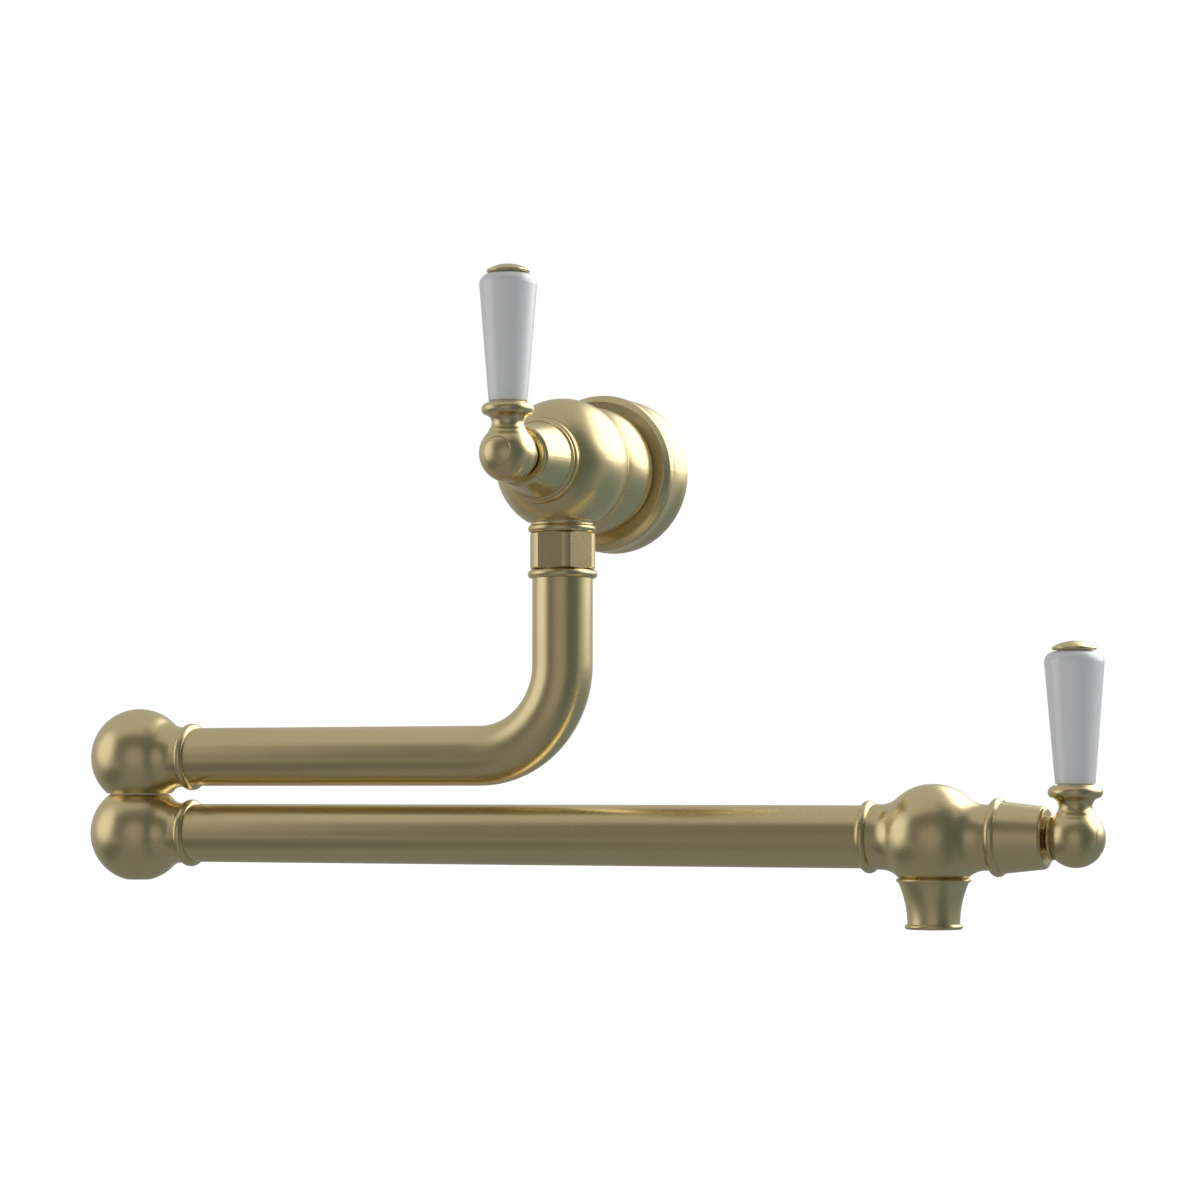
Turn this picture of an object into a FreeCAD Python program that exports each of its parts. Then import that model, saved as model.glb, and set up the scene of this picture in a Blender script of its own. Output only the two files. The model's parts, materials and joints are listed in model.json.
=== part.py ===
import FreeCAD, Part
import math
import os

# Wall mounted pot filler: a cold tap on a wall flange with two hollow arms that fold
# flat against the wall, one below the other, and a second tap at the spout.
#
# Millimetres. Z is up, the wall is the plane Y = 0 and the tap stands out towards -Y.
# The origin is the middle of the flange's back face. Water comes in through the wall,
# passes the wall valve, drops down the swivel tail, runs along the upper arm (towards
# -X as drawn), down through the knuckle, back along the lower arm and out of the nozzle.
#
# The two valves are alike, so each of their pieces is drawn once in a valve frame:
#   the origin is the middle of the lever's ball, local Z points out along the spindle
#   away from the valve body, and local Y points up along the lever.

# ---------------------------------------------------------------- driving dimensions

# Fits. A running fit turns, a seated fit is pushed or screwed together.
RUNNING_GAP = 0.06
SEATED_GAP = 0.04
FACE_GAP = 0.3            # open line between two castings that don't touch

# Edges and cutting tools
EDGE = 0.5                # broken edge on a turned piece
SEAM_EDGE = 0.15          # the same where two polished faces carry on from each other
LEAD_IN = 0.7             # chamfer where a thread, spigot or O-ring seat starts
DRILL_POINT = 1.5         # taper at the bottom of a drilled hole
CUT_OVER = 1.0            # how far a cutting tool runs past the face it opens

# Where things are
SWIVEL_OUT = 58.0         # wall to the axis that the upper arm turns on
UPPER_DROP = 121.9        # wall valve's axis down to the upper arm's axis
ARM_PITCH = 33.3          # upper arm's axis down to the lower arm's axis
UPPER_REACH = 205.0       # swivel axis to knuckle axis
LOWER_REACH = 367.0       # knuckle axis to nozzle axis
WALL_HUB_OUT = 54.6       # swivel axis to the wall lever's ball
SPOUT_HUB_OUT = 58.3      # nozzle axis to the spout lever's ball

# Arm tube
TUBE_R = 12.7
TUBE_WALL = 1.2
BEND_R = 38.1             # 1.5 diameters, on the centre line

# Round collars at the ends of the castings
BEAD_PROUD = 1.95         # how far a collar stands out of the tube
BEAD_WIDTH = 4.4
SPIGOT_LENGTH = 12.0      # how far a casting reaches into the tube

# Wall flange
FLANGE_R = 33.6
FLANGE_WAIST_R = 32.9
FLANGE_DEPTH = 22.0       # wall to the flat face
FLANGE_FOOT = 4.0         # straight stretch next to the wall
FLANGE_WAIST = 9.5        # wall to the waist
FLANGE_BEAD_R = 33.8      # crown of the bead behind the bevel
FLANGE_BEAD = 4.2         # width of that bead
FLANGE_BEVEL_R = 33.2     # where the bevel meets the bead
FLANGE_BEVEL = 2.4        # depth of the bevel
FLANGE_FACE_R = 31.1      # edge of the flat face
FLANGE_FACE_ROUND = 0.4   # rounding of that edge
FLANGE_WALL = 2.6
FLANGE_BOSS = 3.0         # collar round the tail, behind the face
GASKET_WIDTH = 3.2
GASKET_DEPTH = 3.0

# Wall valve body
BODY_BALL_R = 28.1
TAIL_R = 13.0
SHOULDER_BACK_R = 26.4
SHOULDER_R = 27.35
SHOULDER_MID = 5.8        # shoulder's back face to its widest point
CREASE_R = 23.2           # where the shoulder meets the ball
WALL_FACE_OUT = 21.5      # ball's middle to the flat that the bonnet sits on
INLET_PIPE_R = 10.48      # half inch parallel pipe thread, measured on its crests
INLET_PLAY = 0.12
INLET_DEPTH = 14.2
INLET_BORE_R = 6.0
SEAT_WALL = 1.6           # ring that the cartridge's seal presses on
SEAT_FLARE = 0.8          # how much thicker that ring is at its root
GUIDE_LENGTH = 4.0        # plain bore past the cartridge's thread
OUTLET_FLAT = 23.8        # ball's middle down to the flat that the outlet sits on

# Outlet adaptor, union nut and swivel tail
ADAPTOR_THREAD_R = 9.0
ADAPTOR_DEPTH = 10.0      # length of the thread in the valve body
ADAPTOR_FILLET = 1.5
ADAPTOR_BEAD_R = 14.5
ADAPTOR_BEAD = 3.2        # height of the bead above the nut
ADAPTOR_WAIST = 1.1       # how far the bead stands out of the neck over it
ADAPTOR_COVE = 0.5        # hollow of that neck
ADAPTOR_BORE_R = 6.0
NUT_THREAD_R = 11.1
NUT_THREAD_LENGTH = 9.6
NUT_HEIGHT = 15.4
NUT_FLATS = 26.3          # across flats
NUT_TURNED_R = 14.25      # radius that its corners are turned to
NUT_CHAMFER = 0.66
NUT_LIP = 2.7             # floor of the nut under the tail's collar
SWIVEL_R = 8.5
SWIVEL_NECK_R = 9.5
SWIVEL_COLLAR = 2.4
SWIVEL_WASHER = 0.6
SWIVEL_BORE_R = 6.3
TAIL_BEAD = 3.52          # width of the collar under the nut
SWIVEL_GROOVES = (3.4, 7.6)   # O-ring centres above the bottom of the spigot

# Castings with a ball: knuckles and spout body
BALL_R = 21.3
NECK_R = 13.1
NECK_START = 22.0         # ball's middle to where the neck becomes straight
BEAD_OUT = 26.8           # ball's middle to the collar's middle
ARM_BORE_R = 9.4
CHAMBER_R = 11.6

# Knuckle joint
UPPER_FLAT = 16.0         # upper ball's middle down to its flat
KNUCKLE_WASHER = 0.6
WASHER_INSET = 0.35       # washer's edge behind the flat's edge
STEM_R = 8.5
STEM_THREAD_R = 8.0
STEM_THREAD = 9.0
STEM_BORE_R = 5.6
STEM_PORT_R = 3.4
STEM_PORTS = 4
STEM_DRILL = 1.6          # taper at the bottom of the stem's bore
STEM_GROOVES = (13.0, 9.0, -8.9)   # O-ring centres above the lower arm's axis
CHAMBER_HALF = 6.4        # half the height of the water chamber round the stem
STEM_FOOT = 10.8          # lower arm's axis down to the retaining washer
RING_THICK = 1.0
STEM_WASHER = 0.8
STEM_END = 1.0            # stem below its retaining ring
RING_SINK = 1.0           # depth of the ring's groove
RING_PROUD = 1.1          # how far the ring stands out of the stem
RING_MOUTH = 4.4          # open stretch of the ring
WASHER_RIM = 1.2          # how far the thrust washer stands out of the stem
FOOT_R = 10.2             # room for the ring, and the plug's thread
PLUG_TOP = 14.6           # lower arm's axis down to the plug
PLUG_FLAT = 20.65         # lower arm's axis down to the plug's flat
PLUG_SEAT = 2.0           # height of the plug's O-ring seat
PLUG_CORD_R = 0.78
PLUG_HEX = 6.0            # across flats of the socket in the plug
PLUG_HEX_DEPTH = 2.6

# O-rings
CORD_R = 0.9
CORD_SHOWS = 0.03         # how far an O-ring stands out of its groove

# Spout body and nozzle
SPOUT_FACE_OUT = 25.0     # ball's middle to the face that the bonnet sits on
NOZZLE_FLAT = 16.4        # ball's middle down to the flat over the nozzle
NOZZLE_LENGTH = 20.2
NOZZLE_RIM_R = 14.95
NOZZLE_RIM = 1.5
NOZZLE_TOP_R = 13.9
NOZZLE_MID_R = 11.6
NOZZLE_END_R = 10.5
NOZZLE_FOOT_R = 11.56
NOZZLE_FOOT = 2.1
NOZZLE_WAIST = 0.44       # share of the length at which the flare is measured
NOZZLE_STEP = 0.2         # how far the flare's ends stand out of the beads
NOZZLE_THREAD_R = 9.6
NOZZLE_THREAD = 5.2
NOZZLE_BORE_R = 7.9
AERATOR_R = 9.45
AERATOR_WALL = 1.15
AERATOR_DEPTH = 9.2       # nozzle's end up to the aerator's seat
AERATOR_SHY = 0.5         # aerator's end behind the nozzle's end
AERATOR_WASHER = 1.2
SCREEN_THICK = 0.8
SCREEN_SHY = 2.2          # aerator's end up to its screen
SCREEN_HOLE_R = 0.95
SCREEN_PITCH = 2.7
SCREEN_RINGS = 2
SCREEN_LEDGE = 0.6        # shelf of the housing that holds the screen
KEY_SLOTS = 4             # notches in the aerator's end for its key
KEY_SLOT_WIDTH = 1.8
KEY_SLOT_DEPTH = 1.1

# Bonnets
BONNET_FACE_BACK = 11.4   # lever's ball to the bonnet's front face
BONNET_END_R = 12.3
BONNET_MOUTH_R = 5.2
BONNET_ROUND = 1.5
BONNET_WALL = 2.0
BONNET_RING_EDGE = 0.9    # how far its collar's crown stands out of the collar's edges
BONNET_STEP_EDGE = 0.2
WALL_BONNET_BASE_R = 15.8
SPOUT_BONNET_BASE_R = 14.3
WALL_RING_R = 17.7
SPOUT_RING_R = 15.6
WALL_RING = 3.4
SPOUT_RING = 3.9
WALL_STEP_R = 16.7        # second, thinner ring of the wall bonnet
WALL_STEP = 1.3

# Ceramic disc cartridge, measured back from the lever's ball
SEAT_BACK = 66.0
HEX_BACK = 28.6           # back of the hexagon, which sits on the body's nose
HEX_FLATS = 19.0
HEX_THICK = 4.0
NOSE_R = 12.0             # body's nose inside the bonnet
CARTRIDGE_THREAD_R = 10.0
CARTRIDGE_THREAD = 15.4
BARREL_R = 9.6
SEAL_THICK = 2.4
SEAL_PRESS = 0.4          # seal proud of the barrel
SEAL_BORE_R = 5.4
DISC_R = 8.1
DISC_THICK = 2.5
DRIVER_THICK = 4.2
WINDOW_WIDTH = 8.4
WINDOW_LENGTH = 6.0
CARTRIDGE_NOSE_R = 6.9
CARTRIDGE_NOSE_BACK = 17.6
CARTRIDGE_RING = 2.0      # thread's end to its O-ring
HEX_TURNED = 0.9          # how far the hexagon's corners stand out of its flats
PORT_OUTER = 6.5          # openings of the discs: outer and inner radius, half their angle
PORT_INNER = 2.3
PORT_HALF = 34.0
SEAT_RELIEF = 2.5         # seat standing in the chamber
SEAT_PLATE = 3.0          # wall under the seat, across the spout body's bore

# Spindle
SPINDLE_R = 4.5
SPLINE_R = 4.0
SPLINE_TEETH = 20
SPLINE_DEPTH = 0.35
SPLINE_END = 1.5
TOOTH_OUT = 0.1           # middle of a tooth gap outside the spline's crests
SCREW_SPARE = 1.5         # hole past the end of the screw
SPINDLE_RING_BACK = 32.0
SPINDLE_CORD_R = 0.75

# Lever
HUB_R = 11.75
BOSS_R = 8.9
BOSS_BACK = 10.1
BOSS_THICK = 1.4
BOSS_GROOVE = 0.3         # width of the groove between the boss and the ball
BOSS_GROOVE_R = 7.5
BUTTON_R = 6.0
BUTTON_SEAT = 8.6
SCREW_SEAT = 4.0
SCREW_HEAD_R = 4.6
SCREW_HEAD = 3.3
SCREW_R = 2.5
SCREW_END = 7.0
SCREW_HEX = 4.0
SCREW_SOCKET = 2.0
SCREW_PLAY = 0.3          # play of the screw in the hub
COUNTERBORE_R = 4.9
HUB_FILLET_START = 8.0    # ball's middle to where the hub runs out into the neck
HUB_TOP = 9.6
HUB_TOP_R = 7.7
HUB_HOLLOW = 0.12         # how hollow the run-out is
NECK_WAIST = 12.6
NECK_WAIST_R = 6.6
NECK_FLARE = 15.6
NECK_FLARE_R = 8.6
NECK_SWEEP = 0.3          # shape of the two sweeps about the waist
NECK_SWEEP_R = 0.33
FLARE_SWEEP_R = 0.62
COLLAR_MID = 18.2
COLLAR_R = 10.8
COLLAR_TOP = 20.7
COLLAR_TOP_R = 8.5
COLLAR_SHOULDER = 0.75
WASHER_INSIDE = 0.8       # washers' edges behind the faces that they lie on
WASHER_THICK = 0.5
GRIP_FOOT_R = 7.9
GRIP_R = 11.8
GRIP_SHOULDER = 68.9
GRIP_TOP = 73.4
GRIP_TOP_R = 7.6
GRIP_SHOULDER_MID = 71.87   # point half way round the shoulder
GRIP_SHOULDER_R = 10.71
GRIP_FOOT_ROUND = 0.5
GRIP_BORE_R = 3.3
CAP_R = 8.8
CAP_EDGE = 1.2
CAP_DOME_R = 8.45         # where the dome meets the rolled edge
CAP_TOP = 77.5
STUD_R = 3.0
STUD_FOOT = 5.9
STUD_TOP = 75.6

# ------------------------------------------------------------- values worked out once

ORIGIN = FreeCAD.Vector(0, 0, 0)
X_AXIS = FreeCAD.Vector(1, 0, 0)
Y_AXIS = FreeCAD.Vector(0, 1, 0)
Z_AXIS = FreeCAD.Vector(0, 0, 1)

TUBE_BORE_R = TUBE_R - TUBE_WALL
SPIGOT_R = TUBE_BORE_R - SEATED_GAP
BEAD_R = TUBE_R + BEAD_PROUD
LOWER_DROP = UPPER_DROP + ARM_PITCH
NOZZLE_X = LOWER_REACH - UPPER_REACH
CASTING_END = BEAD_OUT + BEAD_WIDTH / 2        # ball's middle to the tube's end
LOWER_FLAT = ARM_PITCH - UPPER_FLAT - KNUCKLE_WASHER
FLAT_R = math.sqrt(BALL_R ** 2 - max(UPPER_FLAT, LOWER_FLAT) ** 2)

SHOULDER_BACK = FLANGE_DEPTH + FACE_GAP
INLET_R = INLET_PIPE_R + INLET_PLAY
BODY_FACE = SWIVEL_OUT + WALL_FACE_OUT
BODY_NOSE_END = SWIVEL_OUT + WALL_HUB_OUT - HEX_BACK
SEAT_PLANE = SWIVEL_OUT + WALL_HUB_OUT - SEAT_BACK

ADAPTOR_FACE = OUTLET_FLAT + ADAPTOR_FILLET + ADAPTOR_BEAD   # the nut's top
ADAPTOR_END = ADAPTOR_FACE + NUT_THREAD_LENGTH
NUT_FLOOR = ADAPTOR_FACE + NUT_HEIGHT - NUT_LIP
NUT_FOOT = ADAPTOR_FACE + NUT_HEIGHT
TAIL_BEAD_TOP = NUT_FOOT + FACE_GAP
TAIL_BEAD_FOOT = TAIL_BEAD_TOP + TAIL_BEAD


# ------------------------------------------------------------------------ small tools

class Outline:
    """Half of a turned piece: points are (along the axis, radius)."""

    def __init__(self, along, radius):
        self.start = FreeCAD.Vector(radius, 0, along)
        self.here = self.start
        self.edges = []

    def line(self, along, radius):
        there = FreeCAD.Vector(radius, 0, along)
        if there.distanceToPoint(self.here) > 1e-6:
            self.edges.append(Part.LineSegment(self.here, there).toShape())
            self.here = there
        return self

    def arc(self, mid_along, mid_radius, along, radius):
        middle = FreeCAD.Vector(mid_radius, 0, mid_along)
        there = FreeCAD.Vector(radius, 0, along)
        self.edges.append(Part.Arc(self.here, middle, there).toShape())
        self.here = there
        return self

    def ball(self, centre, ball_radius, along, radius):
        """Arc of a ball that sits on the axis at centre."""
        first = math.atan2(self.here.x, self.here.z - centre)
        last = math.atan2(radius, along - centre)
        turn = (first + last) / 2
        return self.arc(centre + ball_radius * math.cos(turn), ball_radius * math.sin(turn),
                        along, radius)

    def rounded(self, along, radius, next_along, next_radius, size):
        """Line to a corner, its edge rounded from size before it to size after it."""
        corner = FreeCAD.Vector(radius, 0, along)
        onward = FreeCAD.Vector(next_radius, 0, next_along) - corner
        back = self.here - corner
        before = corner + back * (size / back.Length)
        after = corner + onward * (size / onward.Length)
        half_chord = before.distanceToPoint(after) / 2
        middle = corner + ((before + after) / 2 - corner) * (size / (size + half_chord))
        return self.line(before.z, before.x).arc(middle.z, middle.x, after.z, after.x)

    def roll(self, along, radius, crown):
        """Half round moulding from here to (along, radius), crown is its radius."""
        return self.arc((self.here.z + along) / 2, crown, along, radius)

    def turned(self):
        self.line(self.start.z, self.start.x)
        face = Part.Face(Part.Wire(self.edges))
        return face.revolve(ORIGIN, Z_AXIS, 360)


def drum(low, high, radius):
    return Part.makeCylinder(radius, high - low, FreeCAD.Vector(0, 0, low))


def ring(low, high, inner, outer):
    return drum(low, high, outer).cut(drum(low, high, inner))


def hexagon(low, high, across_flats):
    corner = across_flats / math.sqrt(3)
    points = [FreeCAD.Vector(corner * math.cos(math.radians(60 * k)),
                             corner * math.sin(math.radians(60 * k)), low) for k in range(7)]
    return Part.Face(Part.makePolygon(points)).extrude(Z_AXIS * (high - low))


def groove_floor(surface_r, cord):
    return surface_r + CORD_SHOWS - 2 * cord


def o_ring(middle, surface_r, cord):
    """O-ring lying in the groove of a round surface, whose floor it just touches."""
    return Part.makeTorus(groove_floor(surface_r, cord) + cord, cord,
                          FreeCAD.Vector(0, 0, middle))


def groove(middle, surface_r, cord):
    """Cutter for an O-ring groove in a round surface."""
    half = cord + SEATED_GAP
    return ring(middle - half, middle + half, groove_floor(surface_r, cord), surface_r + cord)


def ball_radius_at(radius, distance):
    """Radius of a ball's section at a distance from its middle."""
    return math.sqrt(radius ** 2 - distance ** 2)


def placed(shape, at, x_to, y_to, z_to):
    copy = shape.copy()
    turn = FreeCAD.Rotation(x_to, y_to, z_to, "ZXY")
    copy.Placement = FreeCAD.Placement(at, turn).multiply(copy.Placement)
    return copy


def from_wall(shape):
    """Axis drawn along Z, standing out of the wall from the origin."""
    return placed(shape, ORIGIN, X_AXIS, Z_AXIS, -Y_AXIS)


def down_from(shape, x, y, z):
    """Axis drawn along Z, hanging down from a point."""
    return placed(shape, FreeCAD.Vector(x, y, z), X_AXIS, -Y_AXIS, -Z_AXIS)


def along_arm(shape, x, z):
    """Axis drawn along Z, lying along +X from a point over the swivel line."""
    return placed(shape, FreeCAD.Vector(x, -SWIVEL_OUT, z), Y_AXIS, Z_AXIS, X_AXIS)


def at_wall_valve(shape):
    return placed(shape, FreeCAD.Vector(0, -SWIVEL_OUT - WALL_HUB_OUT, 0),
                  X_AXIS, Z_AXIS, -Y_AXIS)


def at_spout_valve(shape):
    return along_arm(shape, NOZZLE_X + SPOUT_HUB_OUT, -LOWER_DROP)


PIECES = {}


def keep(name, *solids):
    """Record a named sub-part made of one or more separate solids."""
    PIECES[name] = solids[0] if len(solids) == 1 else Part.makeCompound(list(solids))


# -------------------------------------------------------------------- wall mounting

def wall_flange():
    """Cover plate with a waisted rim, then a bead and a bevel round its flat face."""
    hole = TAIL_R + SEATED_GAP
    inside = FLANGE_R - FLANGE_WALL
    gasket_in = inside - GASKET_WIDTH
    plate_back = FLANGE_DEPTH - FLANGE_WALL
    boss_r = hole + FLANGE_WALL
    bevel_back = FLANGE_DEPTH - FLANGE_BEVEL
    return (Outline(0, FLANGE_R - EDGE)
            .line(EDGE, FLANGE_R)
            .line(FLANGE_FOOT, FLANGE_R)
            .arc(FLANGE_WAIST, FLANGE_WAIST_R, bevel_back - FLANGE_BEAD, FLANGE_BEVEL_R)
            .roll(bevel_back, FLANGE_BEVEL_R, FLANGE_BEAD_R)
            .rounded(FLANGE_DEPTH, FLANGE_FACE_R, FLANGE_DEPTH, hole, FLANGE_FACE_ROUND)
            .line(FLANGE_DEPTH, hole)
            .line(plate_back - FLANGE_BOSS, hole)
            .line(plate_back - FLANGE_BOSS, boss_r)
            .line(plate_back, boss_r + CUT_OVER)
            .line(plate_back, gasket_in - FLANGE_WALL)
            .arc(plate_back - FLANGE_WALL / 4, gasket_in - FLANGE_WALL / 4,
                 plate_back - FLANGE_WALL, gasket_in)
            .line(GASKET_DEPTH, gasket_in)
            .line(GASKET_DEPTH, inside)
            .line(0, inside)
            .turned())


def flange_gasket():
    inside = FLANGE_R - FLANGE_WALL
    return ring(0, GASKET_DEPTH, inside - GASKET_WIDTH, inside - SEATED_GAP)


def cartridge_well(seat, nose_end):
    """Stations of the stepped hole that a cartridge screws into, from its mouth inwards."""
    thread_r = CARTRIDGE_THREAD_R + SEATED_GAP
    guide_r = BARREL_R + SEATED_GAP
    thread_start = nose_end - CARTRIDGE_THREAD
    chamber_end = thread_start - GUIDE_LENGTH
    root = seat - SEAT_RELIEF
    seat_r = INLET_BORE_R + SEAT_WALL
    return ((nose_end, thread_r), (thread_start, thread_r), (thread_start, guide_r),
            (chamber_end, guide_r), (chamber_end, CHAMBER_R), (root, CHAMBER_R),
            (root, seat_r + SEAT_FLARE), (seat, seat_r))


def wall_valve_body():
    crease = SWIVEL_OUT - ball_radius_at(BODY_BALL_R, CREASE_R)
    outline = (Outline(0, INLET_R)
               .line(0, TAIL_R)
               .line(SHOULDER_BACK, TAIL_R)
               .line(SHOULDER_BACK, SHOULDER_BACK_R)
               .arc(SHOULDER_BACK + SHOULDER_MID, SHOULDER_R, crease, CREASE_R)
               .ball(SWIVEL_OUT, BODY_BALL_R, BODY_FACE,
                     ball_radius_at(BODY_BALL_R, WALL_FACE_OUT))
               .line(BODY_FACE, NOSE_R)
               .line(BODY_NOSE_END, NOSE_R))
    for along, radius in cartridge_well(SEAT_PLANE, BODY_NOSE_END):
        outline.line(along, radius)
    body = from_wall(outline
                     .line(SEAT_PLANE, INLET_BORE_R)
                     .line(INLET_DEPTH + DRILL_POINT, INLET_BORE_R)
                     .line(INLET_DEPTH, INLET_R)
                     .turned())
    flat_r = ball_radius_at(BODY_BALL_R, OUTLET_FLAT) + EDGE
    below = drum(OUTLET_FLAT, BODY_BALL_R + CUT_OVER, flat_r)
    socket = drum(OUTLET_FLAT - ADAPTOR_DEPTH - CUT_OVER, OUTLET_FLAT + CUT_OVER,
                  ADAPTOR_THREAD_R + SEATED_GAP)
    way_out = drum(CHAMBER_R / 2, OUTLET_FLAT, ADAPTOR_BORE_R)
    cutter = below.fuse([socket, way_out])
    return body.cut(down_from(cutter, 0, -SWIVEL_OUT, 0))


def outlet_adaptor():
    """Screwed up into the valve body; the swivel tail turns inside it."""
    top = OUTLET_FLAT - ADAPTOR_DEPTH
    socket = SWIVEL_R + RUNNING_GAP
    fillet_end = OUTLET_FLAT + ADAPTOR_FILLET
    waist_r = ADAPTOR_BEAD_R - ADAPTOR_WAIST
    return (Outline(top, ADAPTOR_BORE_R)
            .line(top, ADAPTOR_THREAD_R - LEAD_IN)
            .line(top + LEAD_IN, ADAPTOR_THREAD_R)
            .line(OUTLET_FLAT, ADAPTOR_THREAD_R)
            .line(OUTLET_FLAT, waist_r + ADAPTOR_COVE)
            .arc(OUTLET_FLAT + ADAPTOR_FILLET / 2, waist_r, fillet_end, waist_r)
            .roll(ADAPTOR_FACE, waist_r, ADAPTOR_BEAD_R)
            .line(ADAPTOR_FACE, NUT_THREAD_R)
            .line(ADAPTOR_END - LEAD_IN, NUT_THREAD_R)
            .line(ADAPTOR_END, NUT_THREAD_R - LEAD_IN)
            .line(ADAPTOR_END, socket + LEAD_IN)
            .line(ADAPTOR_END - LEAD_IN, socket)
            .line(fillet_end, socket)
            .line(fillet_end, ADAPTOR_BORE_R)
            .turned())


def union_nut():
    """Two flats of the hexagon face the room, as a hexagon drawn corner first along X does."""
    bore = NUT_THREAD_R + SEATED_GAP
    rim = NUT_FLATS / 2
    top, foot = ADAPTOR_FACE + SEATED_GAP, NUT_FOOT
    outside = (Outline(top, 0)
               .line(top, rim)
               .line(top + NUT_CHAMFER, NUT_TURNED_R)
               .line(foot - NUT_CHAMFER, NUT_TURNED_R)
               .line(foot, rim)
               .line(foot, 0)
               .turned())
    blank = outside.common(hexagon(top, foot, NUT_FLATS))
    threaded = drum(top - CUT_OVER, NUT_FLOOR, bore)
    way_through = drum(top, foot + CUT_OVER, SWIVEL_NECK_R + RUNNING_GAP)
    return blank.cut(threaded.fuse(way_through))


def union_thrust_washer():
    return ring(NUT_FLOOR - SWIVEL_WASHER, NUT_FLOOR, SWIVEL_NECK_R + RUNNING_GAP, NUT_THREAD_R)


# ---------------------------------------------------------------------- swivel and arms

def swivel_tail():
    """Turns in the adaptor, held up by its collar on the nut's floor."""
    spigot_top = OUTLET_FLAT + ADAPTOR_FILLET + FACE_GAP
    collar_foot = NUT_FLOOR - SWIVEL_WASHER
    collar_r = NUT_THREAD_R - FACE_GAP / 2
    spigot_end = TAIL_BEAD_FOOT + SPIGOT_LENGTH
    tail = (Outline(spigot_top, SWIVEL_BORE_R)
            .line(spigot_top, SWIVEL_R - LEAD_IN)
            .line(spigot_top + LEAD_IN, SWIVEL_R)
            .line(collar_foot - SWIVEL_COLLAR, SWIVEL_R)
            .line(collar_foot - SWIVEL_COLLAR, collar_r)
            .line(collar_foot, collar_r)
            .line(collar_foot, SWIVEL_NECK_R)
            .line(TAIL_BEAD_TOP, SWIVEL_NECK_R)
            .line(TAIL_BEAD_TOP, TUBE_R + EDGE)
            .roll(TAIL_BEAD_FOOT, TUBE_R, BEAD_R)
            .line(TAIL_BEAD_FOOT, SPIGOT_R)
            .line(spigot_end - LEAD_IN, SPIGOT_R)
            .line(spigot_end, SPIGOT_R - LEAD_IN)
            .line(spigot_end, ARM_BORE_R)
            .line(TAIL_BEAD_FOOT, SWIVEL_BORE_R)
            .turned())
    for rise in SWIVEL_GROOVES:
        tail = tail.cut(groove(ADAPTOR_END - rise, SWIVEL_R, CORD_R))
    return tail


def swivel_orings():
    return [o_ring(ADAPTOR_END - rise, SWIVEL_R, CORD_R) for rise in SWIVEL_GROOVES]


def upper_arm_tube():
    """One length of tube: down from the swivel, round the bend and out to the knuckle."""
    top = FreeCAD.Vector(0, -SWIVEL_OUT, -TAIL_BEAD_FOOT)
    bend_top = FreeCAD.Vector(0, -SWIVEL_OUT, -UPPER_DROP + BEND_R)
    bend_end = FreeCAD.Vector(-BEND_R, -SWIVEL_OUT, -UPPER_DROP)
    lean = BEND_R * (1 - math.sqrt(0.5))
    bend_mid = FreeCAD.Vector(-lean, -SWIVEL_OUT, -UPPER_DROP + lean)
    end = FreeCAD.Vector(-UPPER_REACH + CASTING_END, -SWIVEL_OUT, -UPPER_DROP)
    path = Part.Wire([Part.LineSegment(top, bend_top).toShape(),
                      Part.Arc(bend_top, bend_mid, bend_end).toShape(),
                      Part.LineSegment(bend_end, end).toShape()])

    def swept(radius):
        circle = Part.Wire(Part.makeCircle(radius, top, Z_AXIS))
        return path.makePipeShell([circle], True, False)

    return swept(TUBE_R).cut(swept(TUBE_BORE_R))


def lower_arm_tube():
    start = -UPPER_REACH + CASTING_END
    end = NOZZLE_X - CASTING_END
    return along_arm(ring(0, end - start, TUBE_BORE_R, TUBE_R), start, -LOWER_DROP)


def necked_ball(outline):
    """Carries an outline from the ball's near pole side through the neck and collar."""
    # The fillet's radius follows from the ball, the neck and where the neck starts.
    rise = BALL_R - NECK_R
    fillet = (NECK_START ** 2 - rise * (BALL_R + NECK_R)) / (2 * rise)
    share = BALL_R / (BALL_R + fillet)
    touch = NECK_START * share
    touch_r = (NECK_R + fillet) * share
    half = math.atan2(NECK_START - touch, NECK_R + fillet - touch_r) / 2
    return (outline
            .ball(0, BALL_R, touch, touch_r)
            .arc(NECK_START - fillet * math.sin(half), NECK_R + fillet * (1 - math.cos(half)),
                 NECK_START, NECK_R))


def tube_end(outline):
    """Collar, then the spigot that goes into the arm tube, with the bore back to the ball."""
    spigot_end = CASTING_END + SPIGOT_LENGTH
    return (outline
            .line(BEAD_OUT - BEAD_WIDTH / 2, NECK_R)
            .roll(CASTING_END, TUBE_R, BEAD_R)
            .line(CASTING_END, SPIGOT_R)
            .line(spigot_end - LEAD_IN, SPIGOT_R)
            .line(spigot_end, SPIGOT_R - LEAD_IN)
            .line(spigot_end, ARM_BORE_R))


def knuckle_casting():
    """Ball, neck and collar, drawn along Z, with the water way bored to its middle."""
    outline = necked_ball(Outline(-BALL_R, 0))
    return tube_end(outline).line(0, ARM_BORE_R).line(0, 0).turned()


def upper_knuckle():
    casting = along_arm(knuckle_casting(), -UPPER_REACH, -UPPER_DROP)
    flat = drum(UPPER_FLAT, BALL_R + CUT_OVER, BALL_R)
    thread = drum(UPPER_FLAT - STEM_THREAD, UPPER_FLAT, STEM_THREAD_R + SEATED_GAP)
    way_down = drum(0, UPPER_FLAT, STEM_BORE_R)
    cutter = flat.fuse([thread, way_down])
    return casting.cut(down_from(cutter, -UPPER_REACH, -SWIVEL_OUT, -UPPER_DROP))


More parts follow.
